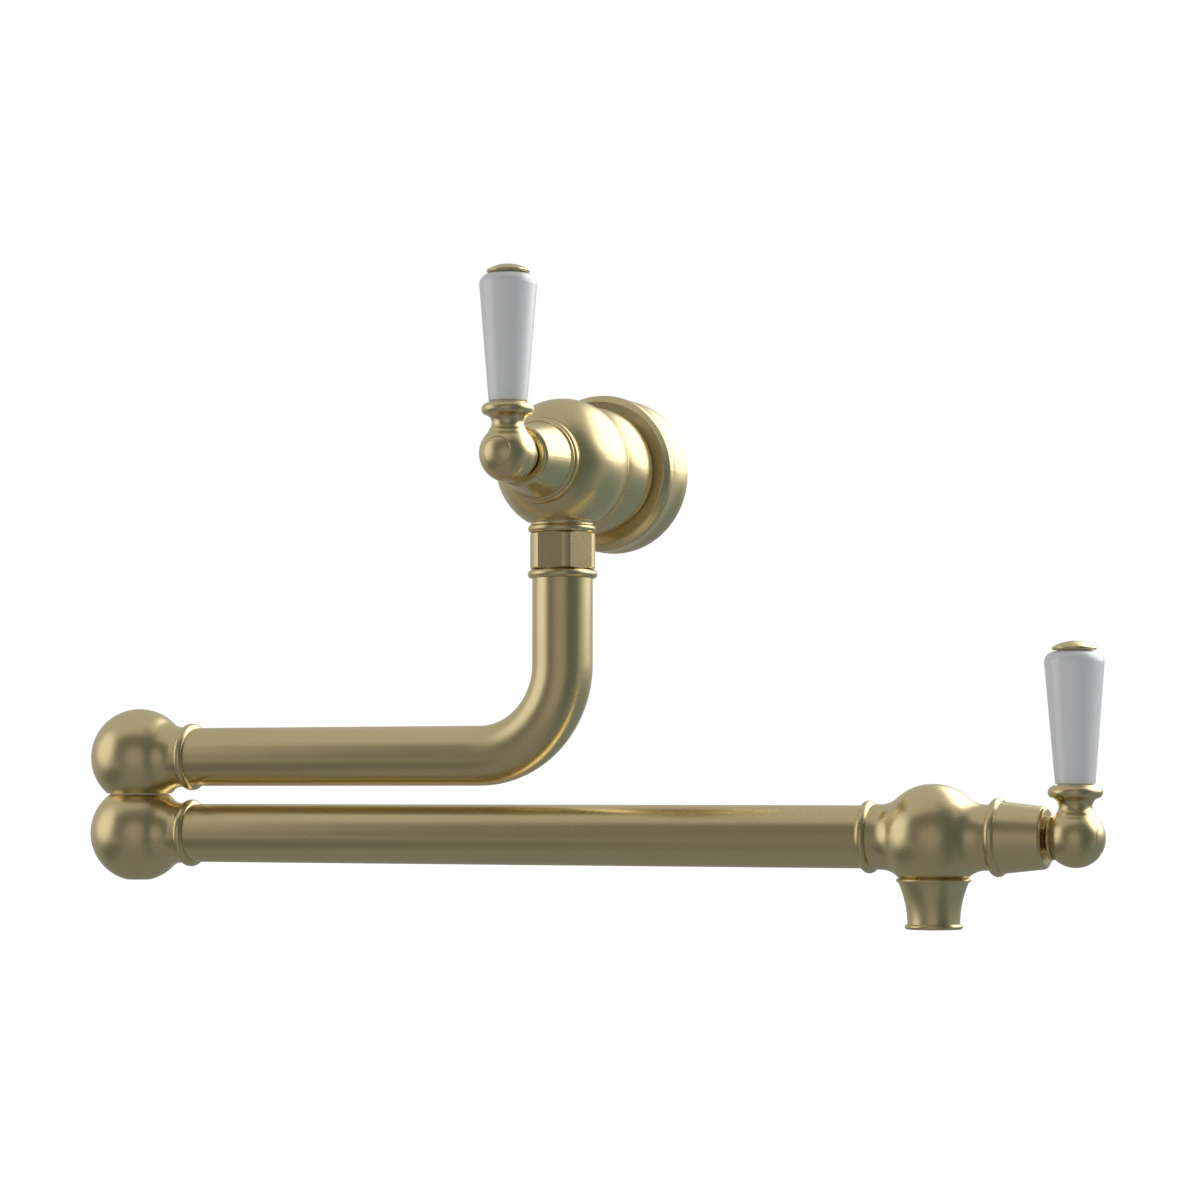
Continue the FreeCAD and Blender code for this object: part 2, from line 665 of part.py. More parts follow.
def stem_stations():
    """Distances down the stem from the lower arm's axis."""
    washer = STEM_FOOT
    ring_top = washer + STEM_WASHER
    ring_foot = ring_top + RING_THICK
    return washer, ring_top, ring_foot, ring_foot + STEM_END


def knuckle_stem():
    """Hollow pin that the lower arm turns on, screwed up into the upper knuckle."""
    _, ring_top, ring_foot, foot = stem_stations()
    top = -LOWER_FLAT - KNUCKLE_WASHER
    thread_top = top - STEM_THREAD
    stem = (Outline(thread_top, STEM_BORE_R)
            .line(thread_top, STEM_THREAD_R - LEAD_IN)
            .line(thread_top + LEAD_IN, STEM_THREAD_R)
            .line(top, STEM_THREAD_R)
            .line(top, STEM_R)
            .line(foot - LEAD_IN, STEM_R)
            .line(foot, STEM_R - LEAD_IN)
            .line(foot, 0)
            .line(CHAMBER_HALF, 0)
            .line(CHAMBER_HALF - STEM_DRILL, STEM_BORE_R)
            .turned())
    port = Part.makeCylinder(STEM_PORT_R, 2 * STEM_R, ORIGIN, X_AXIS)
    for k in range(STEM_PORTS):
        turned = port.copy()
        turned.rotate(ORIGIN, Z_AXIS, 360 / STEM_PORTS * (k + 0.5))
        stem = stem.cut(turned)
    for rise in STEM_GROOVES:
        stem = stem.cut(groove(-rise, STEM_R, CORD_R))
    return stem.cut(ring(ring_top, ring_foot, STEM_R - RING_SINK, STEM_R + CUT_OVER))


def stem_orings():
    return [o_ring(-rise, STEM_R, CORD_R) for rise in STEM_GROOVES]


def stem_retaining_ring():
    """Open spring ring in the stem's last groove."""
    _, ring_top, ring_foot, _ = stem_stations()
    low, high = ring_top + SEATED_GAP / 2, ring_foot - SEATED_GAP / 2
    inner = STEM_R - RING_SINK
    whole = ring(low, high, inner + SEATED_GAP, STEM_R + RING_PROUD)
    mouth = Part.makeBox(STEM_R, RING_MOUTH, high - low + 2 * CUT_OVER,
                         FreeCAD.Vector(inner - CUT_OVER, -RING_MOUTH / 2, low - CUT_OVER))
    return whole.cut(mouth)


def stem_thrust_washer():
    washer, ring_top, _, _ = stem_stations()
    return ring(washer, ring_top, STEM_R + RUNNING_GAP, STEM_R + WASHER_RIM)


def lower_knuckle():
    casting = along_arm(knuckle_casting(), -UPPER_REACH, -LOWER_DROP)
    journal = STEM_R + RUNNING_GAP
    outside = BALL_R + CUT_OVER
    cutter = (Outline(-outside, 0)
              .line(-outside, BALL_R)
              .line(-LOWER_FLAT, BALL_R)
              .line(-LOWER_FLAT, journal + EDGE)
              .line(-LOWER_FLAT + EDGE, journal)
              .line(-CHAMBER_HALF, journal)
              .line(-CHAMBER_HALF, CHAMBER_R)
              .line(CHAMBER_HALF, CHAMBER_R)
              .line(CHAMBER_HALF, journal)
              .line(STEM_FOOT, journal)
              .line(STEM_FOOT, FOOT_R)
              .line(outside, FOOT_R)
              .line(outside, 0)
              .turned())
    return casting.cut(down_from(cutter, -UPPER_REACH, -SWIVEL_OUT, -LOWER_DROP))


def knuckle_washer():
    top = -LOWER_FLAT - KNUCKLE_WASHER
    return ring(top, -LOWER_FLAT, STEM_R + FACE_GAP, FLAT_R - WASHER_INSET)


def knuckle_plug():
    """Screwed in from below, its face carries on the ball's round shape to a small flat."""
    side = FOOT_R - SEATED_GAP
    edge = ball_radius_at(BALL_R, side)
    flat_r = ball_radius_at(BALL_R, PLUG_FLAT)
    seat_r = side - 2 * PLUG_CORD_R - SEATED_GAP
    plug = (Outline(PLUG_TOP, 0)
            .line(PLUG_TOP, seat_r)
            .line(PLUG_TOP + PLUG_SEAT, seat_r)
            .line(PLUG_TOP + PLUG_SEAT, side)
            .line(edge, side)
            .ball(0, BALL_R, PLUG_FLAT, flat_r)
            .line(PLUG_FLAT, 0)
            .turned())
    return plug.cut(hexagon(PLUG_FLAT - PLUG_HEX_DEPTH, PLUG_FLAT + CUT_OVER, PLUG_HEX))


def plug_oring():
    middle_r = FOOT_R - 2 * SEATED_GAP - PLUG_CORD_R
    return Part.makeTorus(middle_r, PLUG_CORD_R,
                          FreeCAD.Vector(0, 0, PLUG_TOP + PLUG_SEAT / 2))


# ---------------------------------------------------------------------------- spout

def spout_valve_body():
    """Drawn along Z with the ball's middle at the origin and the tube on the -Z side."""
    nose_end = SPOUT_HUB_OUT - HEX_BACK
    seat = SPOUT_HUB_OUT - SEAT_BACK
    root = seat - SEAT_RELIEF
    tube_half = tube_end(necked_ball(Outline(0, BALL_R))).line(0, ARM_BORE_R).turned()
    valve_half = (necked_ball(Outline(0, BALL_R))
                  .line(SPOUT_FACE_OUT, NECK_R)
                  .line(SPOUT_FACE_OUT, NOSE_R)
                  .line(nose_end, NOSE_R)
                  .line(nose_end, 0)
                  .line(0, 0)
                  .turned())
    seat_wall = drum(root - SEAT_PLATE, 0, ARM_BORE_R + CUT_OVER)
    body = valve_half.fuse([tube_half.mirror(ORIGIN, Z_AXIS), seat_wall])
    well = Outline(nose_end, 0)
    for along, radius in cartridge_well(seat, nose_end):
        well.line(along, radius)
    inlet = drum(root - SEAT_PLATE - CUT_OVER, seat + CUT_OVER, INLET_BORE_R)
    body = body.cut(well.line(seat, 0).turned().fuse(inlet))
    body = along_arm(body, NOZZLE_X, -LOWER_DROP)
    flat = drum(NOZZLE_FLAT, BALL_R + CUT_OVER, BALL_R)
    thread = drum(NOZZLE_FLAT - NOZZLE_THREAD, NOZZLE_FLAT, NOZZLE_THREAD_R + SEATED_GAP)
    way_out = drum(CHAMBER_R / 2, NOZZLE_FLAT, NOZZLE_BORE_R)
    cutter = flat.fuse([thread, way_out])
    return body.cut(down_from(cutter, NOZZLE_X, -SWIVEL_OUT, -LOWER_DROP))


def nozzle():
    top = NOZZLE_FLAT - NOZZLE_THREAD + SEATED_GAP
    foot = NOZZLE_FLAT + NOZZLE_LENGTH
    seat = foot - AERATOR_DEPTH
    thread_r = AERATOR_R + SEATED_GAP
    return (Outline(top, NOZZLE_BORE_R)
            .line(top, NOZZLE_THREAD_R)
            .line(NOZZLE_FLAT, NOZZLE_THREAD_R)
            .line(NOZZLE_FLAT, NOZZLE_RIM_R - LEAD_IN)
            .roll(NOZZLE_FLAT + NOZZLE_RIM, NOZZLE_TOP_R + NOZZLE_STEP, NOZZLE_RIM_R)
            .arc(NOZZLE_FLAT + NOZZLE_WAIST * NOZZLE_LENGTH, NOZZLE_MID_R,
                 foot - NOZZLE_FOOT, NOZZLE_END_R)
            .roll(foot, NOZZLE_END_R + NOZZLE_STEP, NOZZLE_FOOT_R)
            .line(foot, thread_r + EDGE)
            .line(foot - EDGE, thread_r)
            .line(seat, thread_r)
            .line(seat, NOZZLE_BORE_R)
            .turned())


def aerator_housing():
    """Screwed ring that carries the screen, with notches for its key in the open end."""
    seat = NOZZLE_FLAT + NOZZLE_LENGTH - AERATOR_DEPTH + AERATOR_WASHER
    foot = NOZZLE_FLAT + NOZZLE_LENGTH - AERATOR_SHY
    inside = AERATOR_R - AERATOR_WALL
    screen_foot = foot - SCREEN_SHY
    housing = (Outline(seat, inside)
               .line(seat, AERATOR_R - EDGE)
               .line(seat + EDGE, AERATOR_R)
               .line(foot - EDGE, AERATOR_R)
               .line(foot, AERATOR_R - EDGE)
               .line(foot, inside)
               .line(foot - SCREEN_LEDGE, inside - SCREEN_LEDGE)
               .line(screen_foot, inside - SCREEN_LEDGE)
               .line(screen_foot, inside)
               .turned())
    slot = Part.makeBox(AERATOR_R + CUT_OVER, KEY_SLOT_WIDTH, KEY_SLOT_DEPTH + CUT_OVER,
                        FreeCAD.Vector(0, -KEY_SLOT_WIDTH / 2, foot - KEY_SLOT_DEPTH))
    for k in range(KEY_SLOTS):
        turned = slot.copy()
        turned.rotate(ORIGIN, Z_AXIS, 360 / KEY_SLOTS * (k + 0.5))
        housing = housing.cut(turned)
    return housing


def aerator_washer():
    seat = NOZZLE_FLAT + NOZZLE_LENGTH - AERATOR_DEPTH
    return ring(seat, seat + AERATOR_WASHER, NOZZLE_BORE_R - EDGE, AERATOR_R - SEATED_GAP)


def aerator_screen():
    """Flow straightener: a disc with holes in rings about its middle."""
    foot = NOZZLE_FLAT + NOZZLE_LENGTH - AERATOR_SHY - SCREEN_SHY
    disc = drum(foot - SCREEN_THICK, foot, AERATOR_R - AERATOR_WALL - SEATED_GAP)
    hole = drum(foot - SCREEN_THICK - CUT_OVER, foot + CUT_OVER, SCREEN_HOLE_R)
    holes = [hole]
    for level in range(1, SCREEN_RINGS + 1):
        for k in range(6 * level):
            turn = math.radians(60 / level * k)
            copy = hole.copy()
            copy.translate(FreeCAD.Vector(SCREEN_PITCH * level * math.cos(turn),
                                          SCREEN_PITCH * level * math.sin(turn), 0))
            holes.append(copy)
    return disc.cut(Part.makeCompound(holes))


# --------------------------------------------------- valve pieces, in the valve frame

def bonnet(face_back, base_r, ring_r, ring_width, step_r, step_width):
    """Shroud over the cartridge: collar on the body, then a cone to the front face."""
    base, front = -face_back, -BONNET_FACE_BACK
    ring_front = base + ring_width
    step_front = ring_front + step_width
    slope = (BONNET_END_R - base_r) / (front - step_front)
    fit = NOSE_R + SEATED_GAP
    edge_r = ring_r - BONNET_RING_EDGE
    outline = Outline(base, fit).line(base, edge_r).roll(ring_front, edge_r, ring_r)
    if step_width > 0:
        outline.line(ring_front, step_r - BONNET_STEP_EDGE).roll(step_front, base_r, step_r)
    else:
        outline.line(ring_front, base_r)
    inner_end = front - BONNET_WALL
    inner_r = BONNET_END_R - (slope + 1) * BONNET_WALL
    return (outline
            .rounded(front, BONNET_END_R, front, BONNET_MOUTH_R, BONNET_ROUND)
            .line(front, BONNET_MOUTH_R + EDGE)
            .line(front - EDGE, BONNET_MOUTH_R)
            .line(inner_end, BONNET_MOUTH_R)
            .line(inner_end, inner_r - LEAD_IN)
            .line(inner_end - LEAD_IN, inner_r)
            .line(-HEX_BACK, fit)
            .turned())


def cartridge_stations():
    """Distances along the spindle's axis, from the lever's ball."""
    seat = -SEAT_BACK
    fixed = seat + SEAL_THICK
    moving = fixed + DISC_THICK
    driver = moving + DISC_THICK
    driver_end = driver + DRIVER_THICK
    return seat, fixed, moving, driver, driver_end


def cartridge_groove():
    """O-ring between the cartridge's barrel and the valve body."""
    return -HEX_BACK - CARTRIDGE_THREAD - CARTRIDGE_RING


def cartridge_housing():
    seat, _, moving, _, driver_end = cartridge_stations()
    open_end = seat + SEAL_PRESS
    pocket = DISC_R + RUNNING_GAP
    stem = SPINDLE_R + RUNNING_GAP
    thread_start = -HEX_BACK - CARTRIDGE_THREAD
    hex_front = -HEX_BACK + HEX_THICK
    housing = (Outline(open_end, pocket)
               .line(open_end, BARREL_R)
               .line(thread_start, BARREL_R)
               .line(thread_start, CARTRIDGE_THREAD_R)
               .line(-HEX_BACK, CARTRIDGE_THREAD_R)
               .line(-HEX_BACK, CARTRIDGE_NOSE_R)
               .line(-CARTRIDGE_NOSE_BACK - LEAD_IN, CARTRIDGE_NOSE_R)
               .line(-CARTRIDGE_NOSE_BACK, CARTRIDGE_NOSE_R - LEAD_IN)
               .line(-CARTRIDGE_NOSE_BACK, stem)
               .line(driver_end + RUNNING_GAP, stem)
               .line(driver_end + RUNNING_GAP, pocket)
               .turned())
    collar = hexagon(-HEX_BACK, hex_front, HEX_FLATS)
    collar = collar.common(drum(-HEX_BACK, hex_front, HEX_FLATS / 2 + HEX_TURNED))
    housing = housing.fuse(collar.cut(drum(-HEX_BACK, hex_front, stem)))
    window = Part.makeBox(WINDOW_WIDTH, 4 * BARREL_R, WINDOW_LENGTH,
                          FreeCAD.Vector(-WINDOW_WIDTH / 2, -2 * BARREL_R,
                                         moving + DISC_THICK / 2))
    housing = housing.cut(window)
    return housing.cut(groove(cartridge_groove(), BARREL_R, CORD_R))


def cartridge_oring():
    return o_ring(cartridge_groove(), BARREL_R, CORD_R)


def seat_seal():
    seat, fixed, _, _, _ = cartridge_stations()
    return ring(seat, fixed, SEAL_BORE_R, DISC_R)


def ported_disc(low, radius):
    """Ceramic disc with two opposite quarter openings."""
    half = math.radians(PORT_HALF)

    def at(radius_at, angle):
        return FreeCAD.Vector(radius_at * math.cos(angle), radius_at * math.sin(angle),
                              low - CUT_OVER)

    def arc_at(radius_at, first):
        return Part.Arc(at(radius_at, first), at(radius_at, 0), at(radius_at, -first)).toShape()

    edges = [Part.LineSegment(at(PORT_INNER, -half), at(PORT_OUTER, -half)).toShape(),
             arc_at(PORT_OUTER, -half),
             Part.LineSegment(at(PORT_OUTER, half), at(PORT_INNER, half)).toShape(),
             arc_at(PORT_INNER, half)]
    port = Part.Face(Part.Wire(edges)).extrude(Z_AXIS * (DISC_THICK + 2 * CUT_OVER))
    opposite = port.copy()
    opposite.rotate(ORIGIN, Z_AXIS, 180)
    return drum(low, low + DISC_THICK, radius).cut([port, opposite])


def fixed_disc():
    return ported_disc(cartridge_stations()[1], DISC_R)


def moving_disc():
    """Drawn shut: its openings lie a quarter turn from those of the fixed disc."""
    disc = ported_disc(cartridge_stations()[2], DISC_R - SEATED_GAP)
    disc.rotate(ORIGIN, Z_AXIS, 90)
    return disc


def spindle():
    _, _, _, driver, driver_end = cartridge_stations()
    screw_hole = SCREW_R + SEATED_GAP
    blind = -SCREW_END - SCREW_SPARE
    shoulder = -BOSS_BACK - FACE_GAP
    blank = (Outline(driver, 0)
             .line(driver, DISC_R - FACE_GAP)
             .line(driver_end, DISC_R - FACE_GAP)
             .line(driver_end, SPINDLE_R)
             .line(shoulder - EDGE, SPINDLE_R)
             .line(shoulder, SPLINE_R)
             .line(SPLINE_END, SPLINE_R)
             .line(SPLINE_END, screw_hole)
             .line(blind, screw_hole)
             .line(blind - DRILL_POINT, 0)
             .turned())
    tooth_gap = Part.makeCylinder(SPLINE_DEPTH, SPLINE_END - shoulder + CUT_OVER,
                                  FreeCAD.Vector(SPLINE_R + TOOTH_OUT, 0, shoulder))
    gaps = []
    for k in range(SPLINE_TEETH):
        gap = tooth_gap.copy()
        gap.rotate(ORIGIN, Z_AXIS, 360 / SPLINE_TEETH * k)
        gaps.append(gap)
    blank = blank.cut(Part.makeCompound(gaps))
    return blank.cut(groove(-SPINDLE_RING_BACK, SPINDLE_R, SPINDLE_CORD_R))


def spindle_oring():
    return o_ring(-SPINDLE_RING_BACK, SPINDLE_R, SPINDLE_CORD_R)


def up_lever(shape):
    """Axis drawn along Z, turned up along the lever (local Y)."""
    return placed(shape, ORIGIN, Z_AXIS, X_AXIS, Y_AXIS)


def lever_hub():
    """Ball with a boss towards the bonnet, bored for spindle, screw, button and stud."""
    boss_edge = BOSS_R - EDGE
    groove_back = -BOSS_BACK + BOSS_THICK
    groove_end = groove_back + BOSS_GROOVE
    button_r = BUTTON_R + SEATED_GAP
    seam_r = button_r + SEAM_EDGE
    bore = SPLINE_R + SEATED_GAP
    bore_end = SPLINE_END + EDGE
    screw_r = SCREW_R + SCREW_PLAY
    ball = (Outline(-BOSS_BACK, bore)
            .line(-BOSS_BACK, boss_edge)
            .roll(groove_back, boss_edge, BOSS_R)
            .line(groove_back, BOSS_GROOVE_R)
            .line(groove_end, BOSS_GROOVE_R)
            .line(groove_end, ball_radius_at(HUB_R, groove_end))
            .ball(0, HUB_R, ball_radius_at(HUB_R, seam_r), seam_r)
            .line(ball_radius_at(HUB_R, button_r) - SEAM_EDGE, button_r)
            .line(BUTTON_SEAT, button_r)
            .line(BUTTON_SEAT, COUNTERBORE_R)
            .line(SCREW_SEAT, COUNTERBORE_R)
            .line(SCREW_SEAT, screw_r)
            .line(bore_end, screw_r)
            .line(bore_end, bore)
            .turned())
    start_r = ball_radius_at(HUB_R, HUB_FILLET_START)
    run_out_foot = BUTTON_R + EDGE
    run_out = (Outline(run_out_foot, 0)
               .line(run_out_foot, start_r)
               .line(HUB_FILLET_START, start_r)
               .arc((HUB_FILLET_START + HUB_TOP) / 2, (start_r + HUB_TOP_R) / 2 - HUB_HOLLOW,
                    HUB_TOP, HUB_TOP_R)
               .line(HUB_TOP, 0)
               .turned())
    crown = drum(HUB_TOP, HUB_R + CUT_OVER, HUB_R)
    hole = drum(STUD_FOOT - FACE_GAP, HUB_TOP + CUT_OVER, STUD_R + SEATED_GAP)
    return ball.fuse(up_lever(run_out)).cut(up_lever(crown.fuse(hole)))


def lever_neck():
    """Waisted ferrule between the hub and the grip, with a round collar."""
    bore = STUD_R + SEATED_GAP
    foot = HUB_TOP + SEATED_GAP
    return (Outline(foot, bore)
            .line(foot, HUB_TOP_R)
            .arc((foot + NECK_WAIST) / 2 - NECK_SWEEP, NECK_WAIST_R + NECK_SWEEP_R,
                 NECK_WAIST, NECK_WAIST_R)
            .arc((NECK_WAIST + NECK_FLARE) / 2 + NECK_SWEEP, NECK_WAIST_R + FLARE_SWEEP_R,
                 NECK_FLARE, NECK_FLARE_R)
            .arc(COLLAR_MID, COLLAR_R, COLLAR_TOP - EDGE, COLLAR_TOP_R + COLLAR_SHOULDER)
            .line(COLLAR_TOP, COLLAR_TOP_R)
            .line(COLLAR_TOP, bore)
            .turned())


def lever_washers():
    inner = STUD_R + SEATED_GAP
    below = ring(COLLAR_TOP, COLLAR_TOP + WASHER_THICK, inner, GRIP_FOOT_R - WASHER_INSIDE)
    above = ring(GRIP_TOP, GRIP_TOP + WASHER_THICK, inner, GRIP_TOP_R - WASHER_INSIDE)
    return [up_lever(below), up_lever(above)]


def lever_grip():
    """Porcelain: a slow taper, widest near the top, then a round shoulder."""
    foot = COLLAR_TOP + WASHER_THICK
    return (Outline(foot, GRIP_BORE_R)
            .rounded(foot, GRIP_FOOT_R, GRIP_SHOULDER, GRIP_R, GRIP_FOOT_ROUND)
            .line(GRIP_SHOULDER, GRIP_R)
            .arc(GRIP_SHOULDER_MID, GRIP_SHOULDER_R, GRIP_TOP, GRIP_TOP_R)
            .line(GRIP_TOP, GRIP_BORE_R)
            .turned())


def lever_cap():
    """Domed nut on the stud, it holds the grip down on the neck."""
    foot = GRIP_TOP + WASHER_THICK
    edge = foot + CAP_EDGE
    rise = CAP_TOP - edge
    dome_r = (CAP_DOME_R ** 2 + rise ** 2) / (2 * rise)
    hole_r = STUD_R + SEATED_GAP
    hole_end = STUD_TOP + SEATED_GAP
    return (Outline(foot, hole_r)
            .line(foot, CAP_DOME_R)
            .roll(edge, CAP_DOME_R, CAP_R)
            .ball(CAP_TOP - dome_r, dome_r, CAP_TOP, 0)
            .line(hole_end, 0)
            .line(hole_end, hole_r)
            .turned())


def lever_stud():
    return (Outline(STUD_FOOT, 0)
            .line(STUD_FOOT, STUD_R - EDGE)
            .line(STUD_FOOT + EDGE, STUD_R)
            .line(STUD_TOP - EDGE, STUD_R)
            .line(STUD_TOP, STUD_R - EDGE)
            .line(STUD_TOP, 0)
            .turned())


def lever_screw():
    head_top = SCREW_SEAT + SCREW_HEAD
    screw = (Outline(-SCREW_END, 0)
             .line(-SCREW_END, SCREW_R - EDGE)
             .line(-SCREW_END + EDGE, SCREW_R)
             .line(SCREW_SEAT, SCREW_R)
             .line(SCREW_SEAT, SCREW_HEAD_R)
             .line(head_top - EDGE, SCREW_HEAD_R)
             .line(head_top, SCREW_HEAD_R - EDGE)
             .line(head_top, 0)
             .turned())
    return screw.cut(hexagon(head_top - SCREW_SOCKET, head_top + CUT_OVER, SCREW_HEX))


def lever_button():
    """Cover of the screw, flush with the ball, pushed into the counterbore."""
    rim_r = BUTTON_R - SEAM_EDGE
    plug_r = COUNTERBORE_R - SEATED_GAP
    plug_back = SCREW_SEAT + SCREW_HEAD + FACE_GAP
    return (Outline(plug_back, 0)
            .line(plug_back, plug_r)
            .line(BUTTON_SEAT, plug_r)
            .line(BUTTON_SEAT, BUTTON_R)
            .line(ball_radius_at(HUB_R, BUTTON_R) - SEAM_EDGE, BUTTON_R)
            .line(ball_radius_at(HUB_R, rim_r), rim_r)
            .ball(0, HUB_R, HUB_R, 0)
            .turned())


# -------------------------------------------------------------------------- assembly

def build_root():
    keep("wall_flange", from_wall(wall_flange()))
    keep("flange_gasket", from_wall(flange_gasket()))
    keep("wall_valve_body", wall_valve_body())
    for name, make in (("outlet_adaptor", outlet_adaptor),
                       ("union_nut", union_nut),
                       ("union_thrust_washer", union_thrust_washer)):
        keep(name, down_from(make(), 0, -SWIVEL_OUT, 0))


def build_upper_arm():
    def below_valve(shape):
        return down_from(shape, 0, -SWIVEL_OUT, 0)

    def below_knuckle(shape):
        return down_from(shape, -UPPER_REACH, -SWIVEL_OUT, -LOWER_DROP)

    keep("swivel_tail", below_valve(swivel_tail()))
    keep("swivel_orings", *[below_valve(cord) for cord in swivel_orings()])
    keep("upper_arm_tube", upper_arm_tube())
    keep("upper_knuckle", upper_knuckle())
    keep("knuckle_stem", below_knuckle(knuckle_stem()))
    keep("stem_orings", *[below_knuckle(cord) for cord in stem_orings()])
    keep("stem_retaining_ring", below_knuckle(stem_retaining_ring()))
    keep("stem_thrust_washer", below_knuckle(stem_thrust_washer()))


def build_lower_arm():
    def below_knuckle(shape):
        return down_from(shape, -UPPER_REACH, -SWIVEL_OUT, -LOWER_DROP)

    def below_spout(shape):
        return down_from(shape, NOZZLE_X, -SWIVEL_OUT, -LOWER_DROP)

    keep("lower_knuckle", lower_knuckle())
    keep("knuckle_washer", below_knuckle(knuckle_washer()))
    keep("knuckle_plug", below_knuckle(knuckle_plug()))
    keep("plug_oring", below_knuckle(plug_oring()))
    keep("lower_arm_tube", lower_arm_tube())
    keep("spout_valve_body", spout_valve_body())
    for name, make in (("nozzle", nozzle),
                       ("aerator_housing", aerator_housing),
                       ("aerator_washer", aerator_washer),
                       ("aerator_screen", aerator_screen)):
        keep(name, below_spout(make()))


def build_valve(side, put, face_back, base_r, ring_r, ring_width, step_r, step_width):
    """Bonnet, cartridge and lever of one valve; put moves a piece to that valve."""
    keep(side + "_bonnet",
         put(bonnet(face_back, base_r, ring_r, ring_width, step_r, step_width)))
    for name, make in (("cartridge_housing", cartridge_housing),
                       ("cartridge_oring", cartridge_oring),
                       ("seat_seal", seat_seal),
                       ("fixed_disc", fixed_disc),
                       ("moving_disc", moving_disc),
                       ("spindle", spindle),
                       ("spindle_oring", spindle_oring),
                       ("lever_hub", lever_hub),
                       ("lever_screw", lever_screw),
                       ("lever_button", lever_button)):
        keep(side + "_" + name, put(make()))
    for name, make in (("lever_neck", lever_neck),
                       ("lever_grip", lever_grip),
                       ("lever_cap", lever_cap),
                       ("lever_stud", lever_stud)):
        keep(side + "_" + name, put(up_lever(make())))
    keep(side + "_lever_washers", *[put(washer) for washer in lever_washers()])


build_root()
build_upper_arm()
build_lower_arm()
build_valve("wall", at_wall_valve, WALL_HUB_OUT - WALL_FACE_OUT, WALL_BONNET_BASE_R,
            WALL_RING_R, WALL_RING, WALL_STEP_R, WALL_STEP)
build_valve("spout", at_spout_valve, SPOUT_HUB_OUT - SPOUT_FACE_OUT, SPOUT_BONNET_BASE_R,
            SPOUT_RING_R, SPOUT_RING, 0, 0)

os.makedirs("parts", exist_ok=True)
for name, shape in PIECES.items():
    shape.exportStep("parts/" + name + ".step")
print(len(PIECES), "sub-parts written")
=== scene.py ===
# %% [markdown]
# # A wall mounted pot filler in satin brass and porcelain
#
# The tap folds flat against the wall: a valve on a round flange, an upper arm that drops
# from it, a lower arm that hangs under the upper one, and a second valve at the spout.
# The solid pieces come from the frame at their real size. This lesson gives each of them
# its finish, adds what only a mesh can show, and lights the tap like a studio photograph.

# %% Open the frame
import json
import math

import bpy
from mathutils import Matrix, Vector


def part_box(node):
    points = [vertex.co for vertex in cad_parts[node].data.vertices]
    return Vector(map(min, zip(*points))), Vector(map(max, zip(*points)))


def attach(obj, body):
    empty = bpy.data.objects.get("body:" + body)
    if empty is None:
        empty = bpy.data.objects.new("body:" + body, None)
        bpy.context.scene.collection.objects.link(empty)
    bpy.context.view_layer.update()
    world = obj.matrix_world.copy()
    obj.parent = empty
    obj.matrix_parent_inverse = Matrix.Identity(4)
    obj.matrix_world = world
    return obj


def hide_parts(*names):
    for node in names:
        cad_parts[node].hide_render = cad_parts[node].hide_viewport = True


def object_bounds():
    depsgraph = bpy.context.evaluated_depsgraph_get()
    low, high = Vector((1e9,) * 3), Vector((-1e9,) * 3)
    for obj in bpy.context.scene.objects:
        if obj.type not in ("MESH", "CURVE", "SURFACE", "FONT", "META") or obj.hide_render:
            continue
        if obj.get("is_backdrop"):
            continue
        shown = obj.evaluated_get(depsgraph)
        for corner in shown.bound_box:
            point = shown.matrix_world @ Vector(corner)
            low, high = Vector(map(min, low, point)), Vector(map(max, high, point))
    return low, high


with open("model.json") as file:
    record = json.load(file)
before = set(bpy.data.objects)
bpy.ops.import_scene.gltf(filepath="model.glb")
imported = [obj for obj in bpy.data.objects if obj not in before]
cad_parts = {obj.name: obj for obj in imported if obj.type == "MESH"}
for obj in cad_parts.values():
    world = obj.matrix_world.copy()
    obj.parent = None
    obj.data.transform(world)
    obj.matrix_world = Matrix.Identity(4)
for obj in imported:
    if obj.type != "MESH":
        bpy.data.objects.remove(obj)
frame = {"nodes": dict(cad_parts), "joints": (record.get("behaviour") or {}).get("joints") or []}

cad_low, cad_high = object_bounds()
print("pieces:", len(frame["nodes"]), "size in metres:", [round(v, 4) for v in cad_high - cad_low])

# %% [markdown]
# ## Where things are
#
# Every turned piece has an axis, and its finish follows that axis: a polisher holds the
# mop still while the piece spins. The axes could be typed in, but then they would be wrong
# once a size changes, so they are read off the frame. The joints give four of them
# exactly, and the boxes of the pieces give the rest. The frame's origin is the middle of
# the flange's back, on the wall.

# %% Axes of the turned pieces
X, Y, Z = Vector((1, 0, 0)), Vector((0, 1, 0)), Vector((0, 0, 1))
joints = {joint["name"]: joint for joint in frame["joints"]}


def pivot(joint):
    return Vector(joints[joint]["pos_m"])


def middle(node):
    low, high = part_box(node)
    return (low + high) / 2


flange_middle = Vector((0, 0, 0))
wall_hub = pivot("wall_lever_turn")
spout_hub = pivot("spout_lever_turn")
swivel = pivot("upper_arm_swing")
knuckle = pivot("lower_arm_swing")
tube_low, tube_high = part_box("upper_arm_tube")
tube_radius = (tube_high.y - tube_low.y) / 2
upper_axis = Vector((0, swivel.y, tube_low.z + tube_radius))

AXES = {
    "wall": (flange_middle, Y),
    "drop": (swivel, Z),
    "upper": (upper_axis, X),
    "knuckle": (knuckle, Z),
    "lower": (spout_hub, X),
    "nozzle": (middle("nozzle"), Z),
    "wall_lever": (wall_hub, Z),
    "spout_lever": (spout_hub, Z),
}
print("tube radius in mm:", round(tube_radius * 1000, 2))
print("axes:", {name: tuple(round(v, 4) for v in point) for name, (point, _) in AXES.items()})

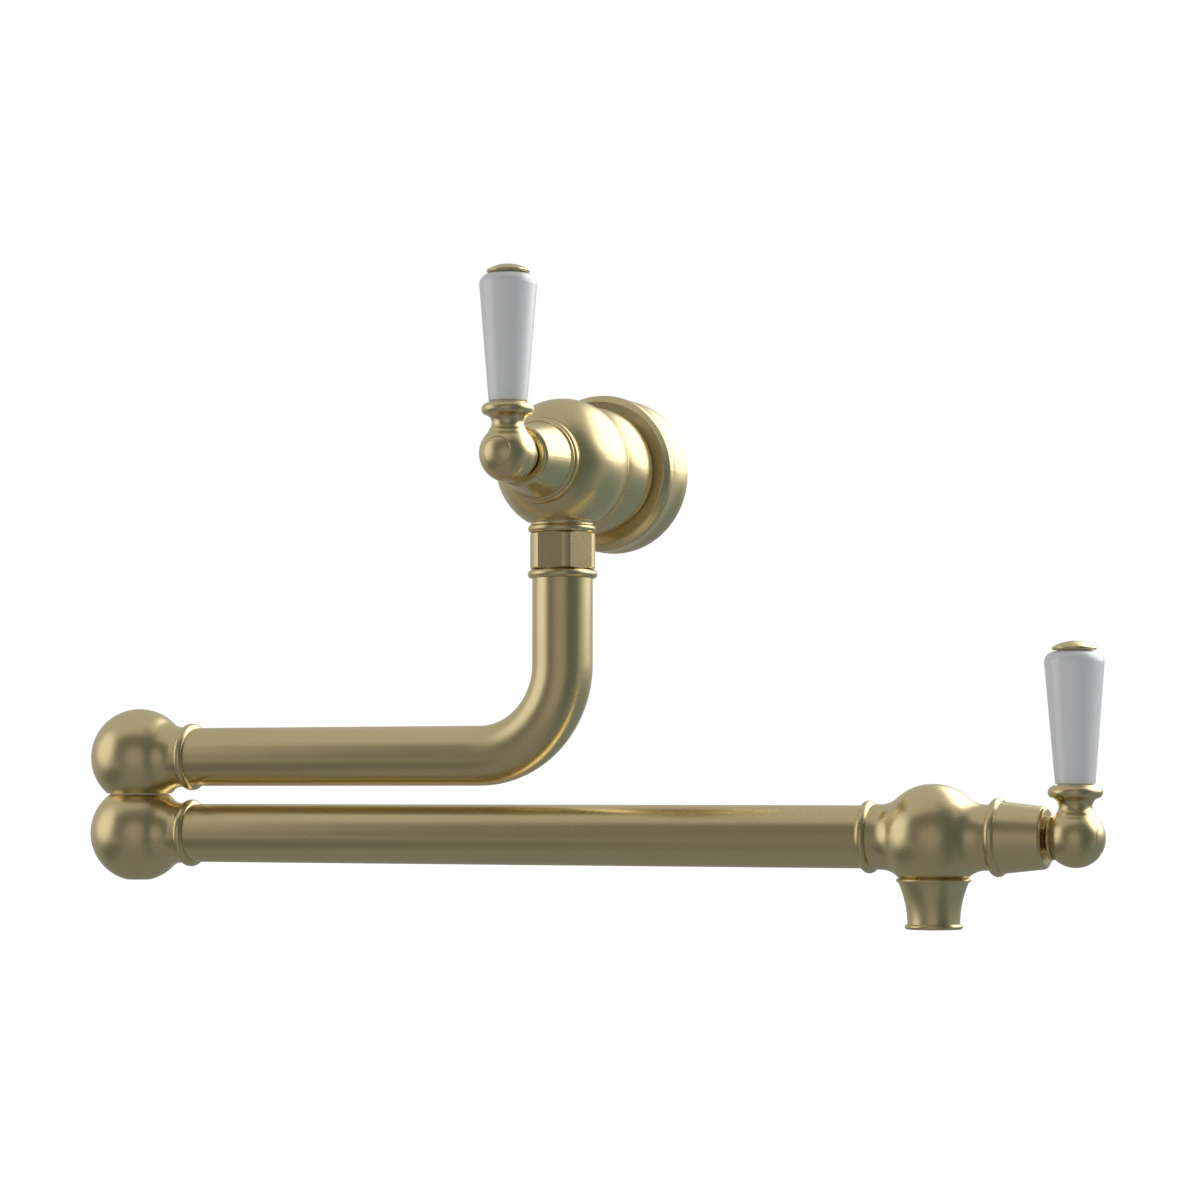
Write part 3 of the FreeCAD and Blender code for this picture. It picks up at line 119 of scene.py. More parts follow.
# %% [markdown]
# ## Helpers for node trees
#
# A material is a graph of nodes. It can be drawn by hand in the shader editor, but a
# script builds the same graph for every finish and repeats it exactly. `add` makes a node,
# and `feed` joins a socket to it or writes a plain value.

# %% Nodes and sockets
def add(tree, kind, **settings):
    node = tree.nodes.new(kind)
    for name, value in settings.items():
        setattr(node, name, value)
    return node


def feed(tree, socket, value):
    if isinstance(value, bpy.types.NodeSocket):
        tree.links.new(value, socket)
    else:
        socket.default_value = value


print("node helpers ready")

# %% [markdown]
# The recipes below are mostly arithmetic on masks. `calc` and `vector_calc` do sums,
# `spread` turns one range of a value into another, and `blend_colours` goes from one
# colour to a second by a mask.

# %% Arithmetic with nodes
# The colour sockets of a Mix node, which has a set for each kind of data under the same
# names, so they are told apart by number.
MIX_FACTOR, MIX_FIRST, MIX_SECOND, MIX_RESULT = 0, 6, 7, 2


def calc(tree, operation, *values):
    node = add(tree, "ShaderNodeMath", operation=operation)
    for socket, value in zip(node.inputs, values):
        feed(tree, socket, value)
    return node.outputs[0]


def vector_calc(tree, operation, *values):
    """A sum on vectors: the output Vector holds it or, for a length or product, Value."""
    node = add(tree, "ShaderNodeVectorMath", operation=operation)
    for socket, value in zip(node.inputs, values):
        feed(tree, socket, value)
    return node.outputs


def scaled(tree, vector, factor):
    node = add(tree, "ShaderNodeVectorMath", operation="SCALE")
    feed(tree, node.inputs[0], vector)
    feed(tree, node.inputs["Scale"], factor)
    return node.outputs["Vector"]


def spread(tree, value, low, high, to_low=0.0, to_high=1.0):
    """Stretches low..high of a value over to_low..to_high, and clamps it there."""
    node = add(tree, "ShaderNodeMapRange", clamp=True)
    for name, number in (("Value", value), ("From Min", low), ("From Max", high),
                         ("To Min", to_low), ("To Max", to_high)):
        feed(tree, node.inputs[name], number)
    return node.outputs["Result"]


def blend_colours(tree, factor, first, second):
    node = add(tree, "ShaderNodeMix", data_type="RGBA")
    feed(tree, node.inputs[MIX_FACTOR], factor)
    feed(tree, node.inputs[MIX_FIRST], first)
    feed(tree, node.inputs[MIX_SECOND], second)
    return node.outputs[MIX_RESULT]


print("arithmetic helpers ready")

# %% [markdown]
# An effect that several finishes share, such as brush lines, is a node group: a small
# tree with named sockets, built once and placed in each material with its own values.
# Copying the nodes into every material would work too, but then a change has to be made
# in each copy.

# %% Node groups
FLOAT, VECTOR = "NodeSocketFloat", "NodeSocketVector"


def new_group(name, inputs, outputs):
    """A shader node group with named sockets; returns its tree, entrance and exit."""
    tree = bpy.data.node_groups.new(name, "ShaderNodeTree")
    for label, kind, value in inputs:
        socket = tree.interface.new_socket(label, in_out="INPUT", socket_type=kind)
        socket.default_value = value
    for label, kind in outputs:
        tree.interface.new_socket(label, in_out="OUTPUT", socket_type=kind)
    return tree, add(tree, "NodeGroupInput"), add(tree, "NodeGroupOutput")


def place_group(tree, group, **values):
    node = add(tree, "ShaderNodeGroup", node_tree=group)
    for label, value in values.items():
        feed(tree, node.inputs[label], value)
    return node.outputs


print("group helpers ready")

# %% [markdown]
# ## Turned coordinates
#
# Lines left by turning run round a piece. A picture of lines would need an unwrapped
# surface and show a seam, so the lines come from noise in space instead. This group
# splits a point into its place along the axis, its distance from the axis and its
# direction round the axis. Noise that changes fast along and outwards but slowly round
# the axis then draws fine rings, on a cylinder, a cone, a ball and a flat face alike.

# %% Group: turned coordinates
LINES_PER_METRE = 3000.0       # noise cells across the lines, so fine lines lie 1/3 mm apart
ROUND_REACH = 6.0              # radius of the noise's circle, which has 38 cells in a turn

turned, entrance, leaving = new_group(
    "Turned coordinates",
    [("Point", VECTOR, (0, 0, 0)), ("Direction", VECTOR, (0, 0, 1)), ("Round", FLOAT, ROUND_REACH),
     ("Outward", FLOAT, LINES_PER_METRE), ("Along", FLOAT, LINES_PER_METRE)],
    [("Grain", VECTOR), ("Depth", FLOAT)])
place = add(turned, "ShaderNodeTexCoord").outputs["Object"]
offset = vector_calc(turned, "SUBTRACT", place, entrance.outputs["Point"])["Vector"]
direction = entrance.outputs["Direction"]
along = vector_calc(turned, "DOT_PRODUCT", offset, direction)["Value"]
on_axis = scaled(turned, direction, along)
radial = vector_calc(turned, "SUBTRACT", offset, on_axis)["Vector"]
radius = vector_calc(turned, "LENGTH", radial)["Value"]
unit = vector_calc(turned, "NORMALIZE", radial)["Vector"]
round_part = scaled(turned, unit, entrance.outputs["Round"])
along_part = scaled(turned, direction, calc(turned, "MULTIPLY", along, entrance.outputs["Along"]))
feed(turned, leaving.inputs["Grain"], vector_calc(turned, "ADD", round_part, along_part)["Vector"])
feed(turned, leaving.inputs["Depth"],
     calc(turned, "MULTIPLY", radius, entrance.outputs["Outward"]))
print("group:", turned.name)

# %% [markdown]
# ## Satin lines
#
# A satin finish is thousands of shallow scratches of unlike depth. One noise gives lines
# that are all alike, as a comb would leave them. So two noises of unlike scale are added,
# and a third, slower one lets the lines fade where the mop pressed less. The group puts
# out a height that swings round nought.

# %% Group: satin lines
FINE_SCALE, COARSE_SCALE, FADE_SCALE = 1.0, 0.22, 0.02
FINE_DETAIL, COARSE_DETAIL, FADE_DETAIL = 2.0, 3.0, 1.0
FINE_SHARE, COARSE_SHARE = 0.6, 0.4
NOISE_MIDDLE = 0.5
FADE_LOW, FADE_HIGH = 0.35, 0.65       # the slow noise's range in which the lines fade
FAINTEST = 0.35                        # strength of the lines where they are weakest

satin_lines, entrance, leaving = new_group(
    "Satin lines", [("Grain", VECTOR, (0, 0, 0)), ("Depth", FLOAT, 0.0)], [("Lines", FLOAT)])


def line_noise(scale, detail):
    noise = add(satin_lines, "ShaderNodeTexNoise", noise_dimensions="4D")
    feed(satin_lines, noise.inputs["Vector"], entrance.outputs["Grain"])
    feed(satin_lines, noise.inputs["W"], entrance.outputs["Depth"])
    feed(satin_lines, noise.inputs["Scale"], scale)
    feed(satin_lines, noise.inputs["Detail"], detail)
    return noise.outputs["Fac"]


fine = line_noise(FINE_SCALE, FINE_DETAIL)
coarse = line_noise(COARSE_SCALE, COARSE_DETAIL)
fade = line_noise(FADE_SCALE, FADE_DETAIL)
both = calc(satin_lines, "MULTIPLY_ADD", fine, FINE_SHARE,
            calc(satin_lines, "MULTIPLY", coarse, COARSE_SHARE))
swing = calc(satin_lines, "SUBTRACT", both, NOISE_MIDDLE)
strength = spread(satin_lines, fade, FADE_LOW, FADE_HIGH, FAINTEST, 1.0)
feed(satin_lines, leaving.inputs["Lines"], calc(satin_lines, "MULTIPLY", swing, strength))
print("group:", satin_lines.name)

# %% [markdown]
# ## Soft haze
#
# Lacquered satin metal never shines evenly: it has broad patches that are a little
# duller or warmer, from handling and from the spray. Patches could be painted by hand,
# but slow noise does it without a seam and serves brass, glaze and rubber alike, each
# with its own patch size. `Haze` has its contrast stretched and suits colour; `Cloud` is
# the plain noise, which suits a bump because it has no creases.

# %% Group: soft haze
HAZE_LOW, HAZE_HIGH = 0.32, 0.68       # the noise's range that is stretched over 0 to 1
SWIRL = 0.6                            # how far the patches are drawn out of round

soft_haze, entrance, leaving = new_group(
    "Soft haze", [("Patches", FLOAT, 40.0), ("Detail", FLOAT, 4.0), ("Stretch", VECTOR, (1, 1, 1))],
    [("Haze", FLOAT), ("Cloud", FLOAT)])
place = add(soft_haze, "ShaderNodeTexCoord").outputs["Object"]
cloud = add(soft_haze, "ShaderNodeTexNoise")
feed(soft_haze, cloud.inputs["Vector"],
     vector_calc(soft_haze, "MULTIPLY", place, entrance.outputs["Stretch"])["Vector"])
feed(soft_haze, cloud.inputs["Scale"], entrance.outputs["Patches"])
feed(soft_haze, cloud.inputs["Detail"], entrance.outputs["Detail"])
feed(soft_haze, cloud.inputs["Distortion"], SWIRL)
feed(soft_haze, leaving.inputs["Haze"],
     spread(soft_haze, cloud.outputs["Fac"], HAZE_LOW, HAZE_HIGH))
feed(soft_haze, leaving.inputs["Cloud"], cloud.outputs["Fac"])
print("group:", soft_haze.name)

# %% [markdown]
# ## Casting pits
#
# Cast brass has a few pinholes that polishing opens. They are far too small to cut into
# the mesh, so a mask darkens and dents the surface there. A cell pattern gives one dot in
# each cell, and most cells are told to stay empty, so that the pits lie far apart.

# %% Group: casting pits
PIT_CELLS = 260.0       # cells per metre
PIT_SIZE = 0.1          # radius of a pit, in cells
PIT_SHARE = 0.03        # share of a casting's cells that hold a pit

casting_pits, entrance, leaving = new_group(
    "Casting pits",
    [("Cells", FLOAT, PIT_CELLS), ("Size", FLOAT, PIT_SIZE), ("Share", FLOAT, PIT_SHARE)],
    [("Pits", FLOAT)])
cells = add(casting_pits, "ShaderNodeTexVoronoi")
feed(casting_pits, cells.inputs["Vector"],
     add(casting_pits, "ShaderNodeTexCoord").outputs["Object"])
feed(casting_pits, cells.inputs["Scale"], entrance.outputs["Cells"])
dot = spread(casting_pits, cells.outputs["Distance"], entrance.outputs["Size"], 0.0)
chance = add(casting_pits, "ShaderNodeSeparateColor")
feed(casting_pits, chance.inputs["Color"], cells.outputs["Color"])
chosen = calc(casting_pits, "LESS_THAN", chance.outputs["Red"], entrance.outputs["Share"])
feed(casting_pits, leaving.inputs["Pits"], calc(casting_pits, "MULTIPLY", dot, chosen))
print("group:", casting_pits.name)

# %% [markdown]
# ## Burnished edges
#
# Hands and cloths rub edges first, so they shine a little more than the faces. The mask
# could be painted, or taken from how sharply the mesh turns, which depends on its facets.
# The Bevel node needs neither: it gives the normal that a rounded edge would have. Where
# that differs from the true normal there is an edge, and the difference is the mask.

# %% Group: burnished edges
EDGE_WIDTH = 0.0004                             # metres
EDGE_SAMPLES = 4
FACE_LIKENESS, EDGE_LIKENESS = 0.995, 0.93      # of the two normals: no edge, full edge

burnished_edges, entrance, leaving = new_group(
    "Burnished edges", [("Width", FLOAT, EDGE_WIDTH)], [("Edge", FLOAT)])
rounded = add(burnished_edges, "ShaderNodeBevel", samples=EDGE_SAMPLES)
feed(burnished_edges, rounded.inputs["Radius"], entrance.outputs["Width"])
normal = add(burnished_edges, "ShaderNodeNewGeometry").outputs["Normal"]
likeness = vector_calc(burnished_edges, "DOT_PRODUCT", rounded.outputs["Normal"], normal)["Value"]
feed(burnished_edges, leaving.inputs["Edge"],
     spread(burnished_edges, likeness, FACE_LIKENESS, EDGE_LIKENESS))
print("group:", burnished_edges.name)

# %% [markdown]
# ## Satin brass
#
# The visible metal is brass, brushed and lacquered to a pale champagne tone. It could be
# a coloured coat over grey metal, but the tone belongs to the metal itself, so it is the
# base colour of a fully metallic shader. Haze warms the tone, rubbed edges are paler, and
# pits go brown.

# %% Tone of the brass
PALE_BRASS = (0.78, 0.655, 0.375, 1.0)
WARM_BRASS = (0.70, 0.575, 0.31, 1.0)
PIT_BROWN = (0.16, 0.11, 0.05, 1.0)
HAZE_WARMS, EDGES_PALE = 0.55, 0.35      # how far each goes towards its tone


def new_material(name):
    material = bpy.data.materials.new(name)
    material.use_nodes = True
    tree = material.node_tree
    return material, tree, tree.nodes["Principled BSDF"]


def brass_tone(tree, haze, edge, pits):
    tone = blend_colours(tree, calc(tree, "MULTIPLY", haze, HAZE_WARMS), PALE_BRASS, WARM_BRASS)
    tone = blend_colours(tree, calc(tree, "MULTIPLY", edge, EDGES_PALE), tone, PALE_BRASS)
    return blend_colours(tree, pits, tone, PIT_BROWN)


print("brass tones:", PALE_BRASS[:3], WARM_BRASS[:3])

# %% [markdown]
# The brush lines are a few thousandths of a millimetre deep, too fine for a mesh, so they
# are a bump. Under them lies a slow ripple that a soft mop leaves on a casting, and that
# makes highlights uneven; a drawn tube has much less of it. Roughness follows the same
# masks, because a scratched, hazy or pitted surface scatters more light.

# %% Roughness and bump of the brass
BRASS_ROUGHNESS = 0.27
# What each mask adds to the roughness; the haze swings it both ways.
HAZE_DULLS, LINES_DULL, EDGES_DULL, PITS_DULL = 0.07, 0.10, -0.05, 0.4
LINE_HEIGHT = 0.000004                  # metres, as are the heights below
PIT_HEIGHT = -4.0 * LINE_HEIGHT
TURNED_RIPPLE, TUBE_RIPPLE = 0.00004, 0.00001
RIPPLE_PATCHES, RIPPLE_DETAIL = 170.0, 1.0
BRASS_IOR = 1.5


def bump(tree, shader, height):
    """Shades a height, which is in metres."""
    node = add(tree, "ShaderNodeBump")
    feed(tree, node.inputs["Distance"], 1.0)
    feed(tree, node.inputs["Height"], height)
    feed(tree, shader.inputs["Normal"], node.outputs["Normal"])


def brass_roughness(tree, haze, lines, edge, pits):
    dull = calc(tree, "MULTIPLY_ADD", haze, HAZE_DULLS, BRASS_ROUGHNESS - HAZE_DULLS / 2)
    dull = calc(tree, "MULTIPLY_ADD", lines, LINES_DULL, dull)
    dull = calc(tree, "MULTIPLY_ADD", edge, EDGES_DULL, dull)
    return calc(tree, "MULTIPLY_ADD", pits, PITS_DULL, dull)


def brass_height(tree, lines, pits, ripple_height):
    ripple = place_group(tree, soft_haze, Patches=RIPPLE_PATCHES, Detail=RIPPLE_DETAIL)["Cloud"]
    height = calc(tree, "MULTIPLY_ADD", lines, LINE_HEIGHT,
                  calc(tree, "MULTIPLY", pits, PIT_HEIGHT))
    return calc(tree, "MULTIPLY_ADD", ripple, ripple_height, height)


def brass_finish(tree, shader, grain, depth, patches, ripple_height, pit_share):
    lines = place_group(tree, satin_lines, Grain=grain, Depth=depth)["Lines"]
    haze = place_group(tree, soft_haze, Patches=patches)["Haze"]
    edge = place_group(tree, burnished_edges)["Edge"]
    pits = place_group(tree, casting_pits, Share=pit_share)["Pits"]
    feed(tree, shader.inputs["Base Color"], brass_tone(tree, haze, edge, pits))
    feed(tree, shader.inputs["Roughness"], brass_roughness(tree, haze, lines, edge, pits))
    bump(tree, shader, brass_height(tree, lines, pits, ripple_height))
    shader.inputs["Metallic"].default_value = 1.0
    shader.inputs["IOR"].default_value = BRASS_IOR


print("roughness of the brass:", BRASS_ROUGHNESS, "line height in mm:", LINE_HEIGHT * 1000)

# %% [markdown]
# Castings are turned and polished while they spin, so each of the tap's axes gets its own
# brass, with lines round that axis. One brass with its lines in one direction would show
# rings on one valve and stripes on the next. The tubes' brass reads its lines from the
# mesh, where they are stored further down.

# %% The brasses
CASTING_PATCHES, TUBE_PATCHES = 42.0, 16.0      # haze patches per metre


def turned_brass(name, axis):
    """Satin brass whose lines run round one of the tap's axes."""
    material, tree, shader = new_material(name)
    point, way = AXES[axis]
    coordinates = place_group(tree, turned, Point=point, Direction=way)
    brass_finish(tree, shader, coordinates["Grain"], coordinates["Depth"],
                 CASTING_PATCHES, TURNED_RIPPLE, PIT_SHARE)
    return material


def tube_brass(name):
    """Satin brass whose lines run along a tube, also round its bend; it has no pits."""
    material, tree, shader = new_material(name)
    stored = add(tree, "ShaderNodeAttribute", attribute_name="grain")
    brass_finish(tree, shader, stored.outputs["Vector"], 0.0, TUBE_PATCHES, TUBE_RIPPLE, 0.0)
    return material


brass = {axis: turned_brass("satin_brass_" + axis, axis) for axis in AXES}
brass_tube = tube_brass("satin_brass_tube")
print("brass finishes:", len(brass) + 1)

# %% [markdown]
# ## Porcelain
#
# The lever grips are porcelain: a white clay body under clear glaze. A plain glossy white
# would do from afar, but two layers catch the light as glaze does: a dull base and a
# smooth clear coat. The glaze is poured, so its surface waves very gently, in patches
# that are longer than they are wide, and pools a little bluer.

# %% Porcelain
CLAY_WHITE = (0.80, 0.81, 0.82, 1)
POOLED_WHITE = (0.77, 0.79, 0.815, 1)
GLAZE_PATCHES, GLAZE_STRETCH = 70.0, (1, 1, 0.35)
CLAY_SMOOTH, CLAY_DULL = 0.28, 0.36       # roughness of the clay under the glaze
GLAZE_WAVE = 0.00003                      # metres
GLAZE_ROUGHNESS, GLAZE_IOR = 0.03, 1.55


def porcelain_glaze(name):
    material, tree, shader = new_material(name)
    haze = place_group(tree, soft_haze, Patches=GLAZE_PATCHES, Stretch=GLAZE_STRETCH)["Haze"]
    feed(tree, shader.inputs["Base Color"], blend_colours(tree, haze, CLAY_WHITE, POOLED_WHITE))
    feed(tree, shader.inputs["Roughness"], spread(tree, haze, 0.0, 1.0, CLAY_SMOOTH, CLAY_DULL))
    bump(tree, shader, calc(tree, "MULTIPLY", haze, GLAZE_WAVE))
    shader.inputs["Coat Weight"].default_value = 1.0
    shader.inputs["Coat Roughness"].default_value = GLAZE_ROUGHNESS
    shader.inputs["Coat IOR"].default_value = GLAZE_IOR
    return material


porcelain = porcelain_glaze("porcelain_glaze")
print("finish:", porcelain.name)

# %% [markdown]
# ## Rubber, plastic, ceramic, steel and raw brass
#
# The seals, discs, spindles and screws hide inside, but they show when the tap is taken
# apart. Each could have a recipe of its own. But moulded, ground and rolled surfaces
# differ mainly in tone, sheen and grain, so one recipe with other numbers serves them all.

# %% Plain engineering finishes
SHEEN_CHANGE = 0.06       # how far the roughness goes up and down over a surface


def plain_finish(name, tones, roughness, patches, height, metallic=0.0):
    """Two tones, a grain and a soft change of sheen; patches per metre, height in metres."""
    material, tree, shader = new_material(name)
    haze = place_group(tree, soft_haze, Patches=patches)["Haze"]
    feed(tree, shader.inputs["Base Color"], blend_colours(tree, haze, *tones))
    feed(tree, shader.inputs["Roughness"],
         spread(tree, haze, 0.0, 1.0, roughness - SHEEN_CHANGE, roughness + SHEEN_CHANGE))
    bump(tree, shader, calc(tree, "MULTIPLY", haze, height))
    shader.inputs["Metallic"].default_value = metallic
    print("finish:", name)
    return material


rubber = plain_finish(
    "nitrile_rubber", tones=((0.012, 0.012, 0.013, 1), (0.03, 0.03, 0.032, 1)),
    roughness=0.62, patches=900.0, height=0.00002)
white_plastic = plain_finish(
    "bearing_plastic", tones=((0.78, 0.76, 0.70, 1), (0.70, 0.68, 0.62, 1)),
    roughness=0.42, patches=500.0, height=0.000008)
grey_plastic = plain_finish(
    "aerator_plastic", tones=((0.16, 0.165, 0.17, 1), (0.11, 0.115, 0.12, 1)),
    roughness=0.45, patches=700.0, height=0.00001)
valve_ceramic = plain_finish(
    "valve_ceramic", tones=((0.86, 0.85, 0.80, 1), (0.80, 0.79, 0.74, 1)),
    roughness=0.18, patches=300.0, height=0.000002)
steel = plain_finish(
    "stainless_steel", tones=((0.62, 0.61, 0.59, 1), (0.52, 0.51, 0.50, 1)),
    roughness=0.32, patches=600.0, height=0.000004, metallic=1.0)
raw_brass = plain_finish(
    "machined_brass", tones=((0.80, 0.58, 0.24, 1), (0.70, 0.49, 0.19, 1)),
    roughness=0.22, patches=500.0, height=0.000004, metallic=1.0)

# %% [markdown]
# ## Giving each piece its finish
#
# The pieces keep their shape and place; only their material changes. The first table says
# which axis each brass piece was turned about. The rest follow from the ends of their
# names, because both valves hold the same kinds of pieces.

# %% Assign finishes
BRASS_AXIS = {
    "wall_flange": "wall", "wall_valve_body": "wall", "wall_bonnet": "wall",
    "wall_lever_hub": "wall", "wall_lever_button": "wall",
    "outlet_adaptor": "drop", "union_nut": "drop", "swivel_tail": "drop",
    "upper_knuckle": "upper", "lower_knuckle": "lower", "knuckle_plug": "knuckle",
    "spout_valve_body": "lower", "spout_bonnet": "lower", "spout_lever_hub": "lower",
    "spout_lever_button": "lower", "nozzle": "nozzle", "aerator_housing": "nozzle",
    "wall_lever_neck": "wall_lever", "wall_lever_cap": "wall_lever",
    "spout_lever_neck": "spout_lever", "spout_lever_cap": "spout_lever",
}
ENDINGS = (
    (("_arm_tube",), brass_tube),
    (("lever_grip",), porcelain),
    (("_disc",), valve_ceramic),
    (("oring", "orings", "seal", "gasket", "aerator_washer"), rubber),
    (("lever_washers", "knuckle_washer", "thrust_washer"), white_plastic),
    (("aerator_screen",), grey_plastic),
    (("retaining_ring", "lever_stud", "lever_screw"), steel),
    (("spindle", "cartridge_housing", "knuckle_stem"), raw_brass),
)


def finish_of(node):
    if node in BRASS_AXIS:
        return brass[BRASS_AXIS[node]]
    return next(finish for endings, finish in ENDINGS if node.endswith(endings))


for node, piece in frame["nodes"].items():
    piece.data.materials.clear()
    piece.data.materials.append(finish_of(node))
print("finished pieces:", len(frame["nodes"]))

# %% [markdown]
# ## The arm tubes
#
# A brushed tube is drawn through the mop lengthwise, so its lines follow the tube round
# the bend. No fixed axis gives that: it needs a coordinate that bends with the tube. A
# curve with a round section would give the shape, but not that coordinate. So the tubes
# are swept meshes: rings of points are carried along the path, and each point stores
# where it lies round the tube and how far along. A path is a list of stations, each with
# its centre and its direction.

# %% Stations along a path
def straight(start, end, steps):
    run = (end - start).normalized()
    return [(start.lerp(end, k / steps), run) for k in range(steps + 1)]


def bend(start, first, last, radius, steps):
    """Stations of a right angle that starts along first and leaves along last."""
    centre = start + last * radius
    stations = []
    for k in range(1, steps + 1):
        turn = math.pi / 2 * k / steps
        spoke = -last * math.cos(turn) + first * math.sin(turn)
        run = first * math.cos(turn) + last * math.sin(turn)
        stations.append((centre + spoke * radius, run))
    return stations


DROP_STEPS, BEND_STEPS, UPPER_STEPS, LOWER_STEPS = 12, 40, 40, 80
bend_radius = 3 * tube_radius            # to the centre line: one and a half diameters
top = Vector((0, swivel.y, tube_high.z))
drop_end = upper_axis + Z * bend_radius
upper_end = Vector((tube_low.x, swivel.y, upper_axis.z))
upper_stations = straight(top, drop_end, DROP_STEPS)
upper_stations += bend(drop_end, -Z, -X, bend_radius, BEND_STEPS)
upper_stations += straight(upper_stations[-1][0], upper_end, UPPER_STEPS)[1:]

low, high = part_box("lower_arm_tube")
lower_start = Vector((low.x, spout_hub.y, spout_hub.z))
lower_stations = straight(lower_start, lower_start + X * (high.x - low.x), LOWER_STEPS)
print("stations:", len(upper_stations), "and", len(lower_stations))

# %% [markdown]
# At each station stand two rings of points, for the outer and the inner face of the
# tube's wall. Faces join each ring to the next one along, and close the wall at both ends.
# The stored grain is a point on a wide circle, so the noise changes fast round the tube
# and slowly along it, which draws long lines.

# %% Rings and faces of a tube
RING_POINTS = 96
TUBE_WALL = 0.0012                            # metres
LINES_ROUND, LINES_ALONG = 45.0, 14.0         # radius of the noise's circle, cells per metre


def tube_points(stations, side, outer):
    """Points and grain of every ring; the stations lie in the plane square to side."""
    points, grains = [], []
    travelled, before = 0.0, stations[0][0]
    for centre, run in stations:
        travelled += (centre - before).length
        before = centre
        up = side.cross(run).normalized()
        for wall_radius in (outer, outer - TUBE_WALL):
            for k in range(RING_POINTS):
                turn = 2 * math.pi * k / RING_POINTS
                spoke = side * math.cos(turn) + up * math.sin(turn)
                points.append(centre + spoke * wall_radius)
                grains.append((math.cos(turn) * LINES_ROUND, math.sin(turn) * LINES_ROUND,
                               travelled * LINES_ALONG))
    return points, grains, travelled


def tube_faces(station_count):
    faces = []
    ring = 2 * RING_POINTS
    last = (station_count - 1) * ring
    for k in range(RING_POINTS):
        after = (k + 1) % RING_POINTS
        for start in range(0, last, ring):
            a, b = start + k, start + after
            faces.append((a, b, b + ring, a + ring))
            c, d = a + RING_POINTS, b + RING_POINTS
            faces.append((d, c, c + ring, d + ring))
        faces.append((k + RING_POINTS, after + RING_POINTS, after, k))
        faces.append((last + k, last + after, last + after + RING_POINTS, last + k + RING_POINTS))
    return faces


print("faces of the upper tube:", len(tube_faces(len(upper_stations))))

# %% [markdown]
# Each swept tube takes the place of its solid, rides on the same arm and keeps the
# solid's size. Smooth shading would also round its cut ends, so a modifier splits the
# mesh wherever it turns sharply.

# %% The two tubes
CRISP_ENDS = math.radians(50)


def swept_tube(name, stations, side, outer, body, node):
    points, grains, travelled = tube_points(stations, side, outer)
    faces = tube_faces(len(stations))
    mesh = bpy.data.meshes.new(name)
    mesh.from_pydata([tuple(p) for p in points], [], faces)
    stored = mesh.attributes.new("grain", "FLOAT_VECTOR", "POINT")
    stored.data.foreach_set("vector", [value for grain in grains for value in grain])
    mesh.polygons.foreach_set("use_smooth", [True] * len(mesh.polygons))
    mesh.materials.append(brass_tube)
    tube = bpy.data.objects.new(name, mesh)
    bpy.context.scene.collection.objects.link(tube)
    tube.modifiers.new("crisp ends", "EDGE_SPLIT").split_angle = CRISP_ENDS
    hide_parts(node)
    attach(tube, body)
    print(name, "length in mm:", round(travelled * 1000, 1), "faces:", len(faces))


swept_tube("upper_tube_skin", upper_stations, Y, tube_radius, "upper_arm", "upper_arm_tube")
swept_tube("lower_tube_skin", lower_stations, Y, tube_radius, "lower_arm", "lower_arm_tube")

# %% [markdown]
# ## Smooth shading of the solid pieces
#
# The solid pieces arrive as fine facets, with a normal stored at each corner and their
# points doubled along the borders of their faces. A modifier that splits sharp edges could
# be added, but it isn't needed: on smooth faces the stored normals make the curves round
# and leave the borders crisp, as the tool left them.

# %% Smooth the solid pieces
for piece in frame["nodes"].values():
    piece.data.polygons.foreach_set("use_smooth", [True] * len(piece.data.polygons))
print("smooth pieces:", len(frame["nodes"]))

# %% [markdown]
# ## Camera
#
# The photograph was taken with a long lens from the tap's right, a little below its
# middle and tilted up, and the camera repeats that. Its place could be found by eye, but
# the outlines of the tubes, balls and flange fix it much better, so these values were
# fitted to them. The lens follows from the focal length in pixels of the square frame.

# %% Camera
CAMERA_PLACE = Vector((0.5696, -1.3371, -0.1359))
CAMERA_AZIMUTH = math.radians(23.36)
CAMERA_PITCH = math.radians(3.236)
FRAME_PIXELS = 1200
FOCAL_PIXELS = 3340
SENSOR_MM = 36.0

lens = bpy.data.cameras.new("camera")
lens.sensor_width = SENSOR_MM
lens.lens = SENSOR_MM * FOCAL_PIXELS / FRAME_PIXELS
camera = bpy.data.objects.new("camera", lens)
camera.location = CAMERA_PLACE
camera.rotation_euler = (math.pi / 2 + CAMERA_PITCH, 0, CAMERA_AZIMUTH)
bpy.context.scene.collection.objects.link(camera)
bpy.context.scene.camera = camera
print("lens in mm:", round(lens.lens, 1))

# %% [markdown]
# ## Studio
#
# Metal shows its surroundings more than its own colour, so the studio is what gives the
# brass its look. Lamps alone would leave it black between their reflections. So the tap
# stands in a dome of cloth. Places on it are given as a photographer would name them: so
# many degrees to the right of the camera, and so many upwards.

# %% Directions in the studio
tap_middle = (cad_low + cad_high) / 2
to_camera = Vector((math.sin(CAMERA_AZIMUTH), -math.cos(CAMERA_AZIMUTH), 0))
to_right = Vector((math.cos(CAMERA_AZIMUTH), math.sin(CAMERA_AZIMUTH), 0))


def way_to(right, up):
    """Direction from the tap: degrees to the right of the camera, and upwards."""
    level = to_camera * math.cos(math.radians(right)) + to_right * math.sin(math.radians(right))
    return level * math.cos(math.radians(up)) + Z * math.sin(math.radians(up))


def stage_mesh(name, points, faces, material):
    mesh = bpy.data.meshes.new(name)
    mesh.from_pydata([tuple(p) for p in points], [], faces)
    mesh.materials.append(material)
    piece = bpy.data.objects.new(name, mesh)
    bpy.context.scene.collection.objects.link(piece)
    piece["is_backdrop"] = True
    return piece


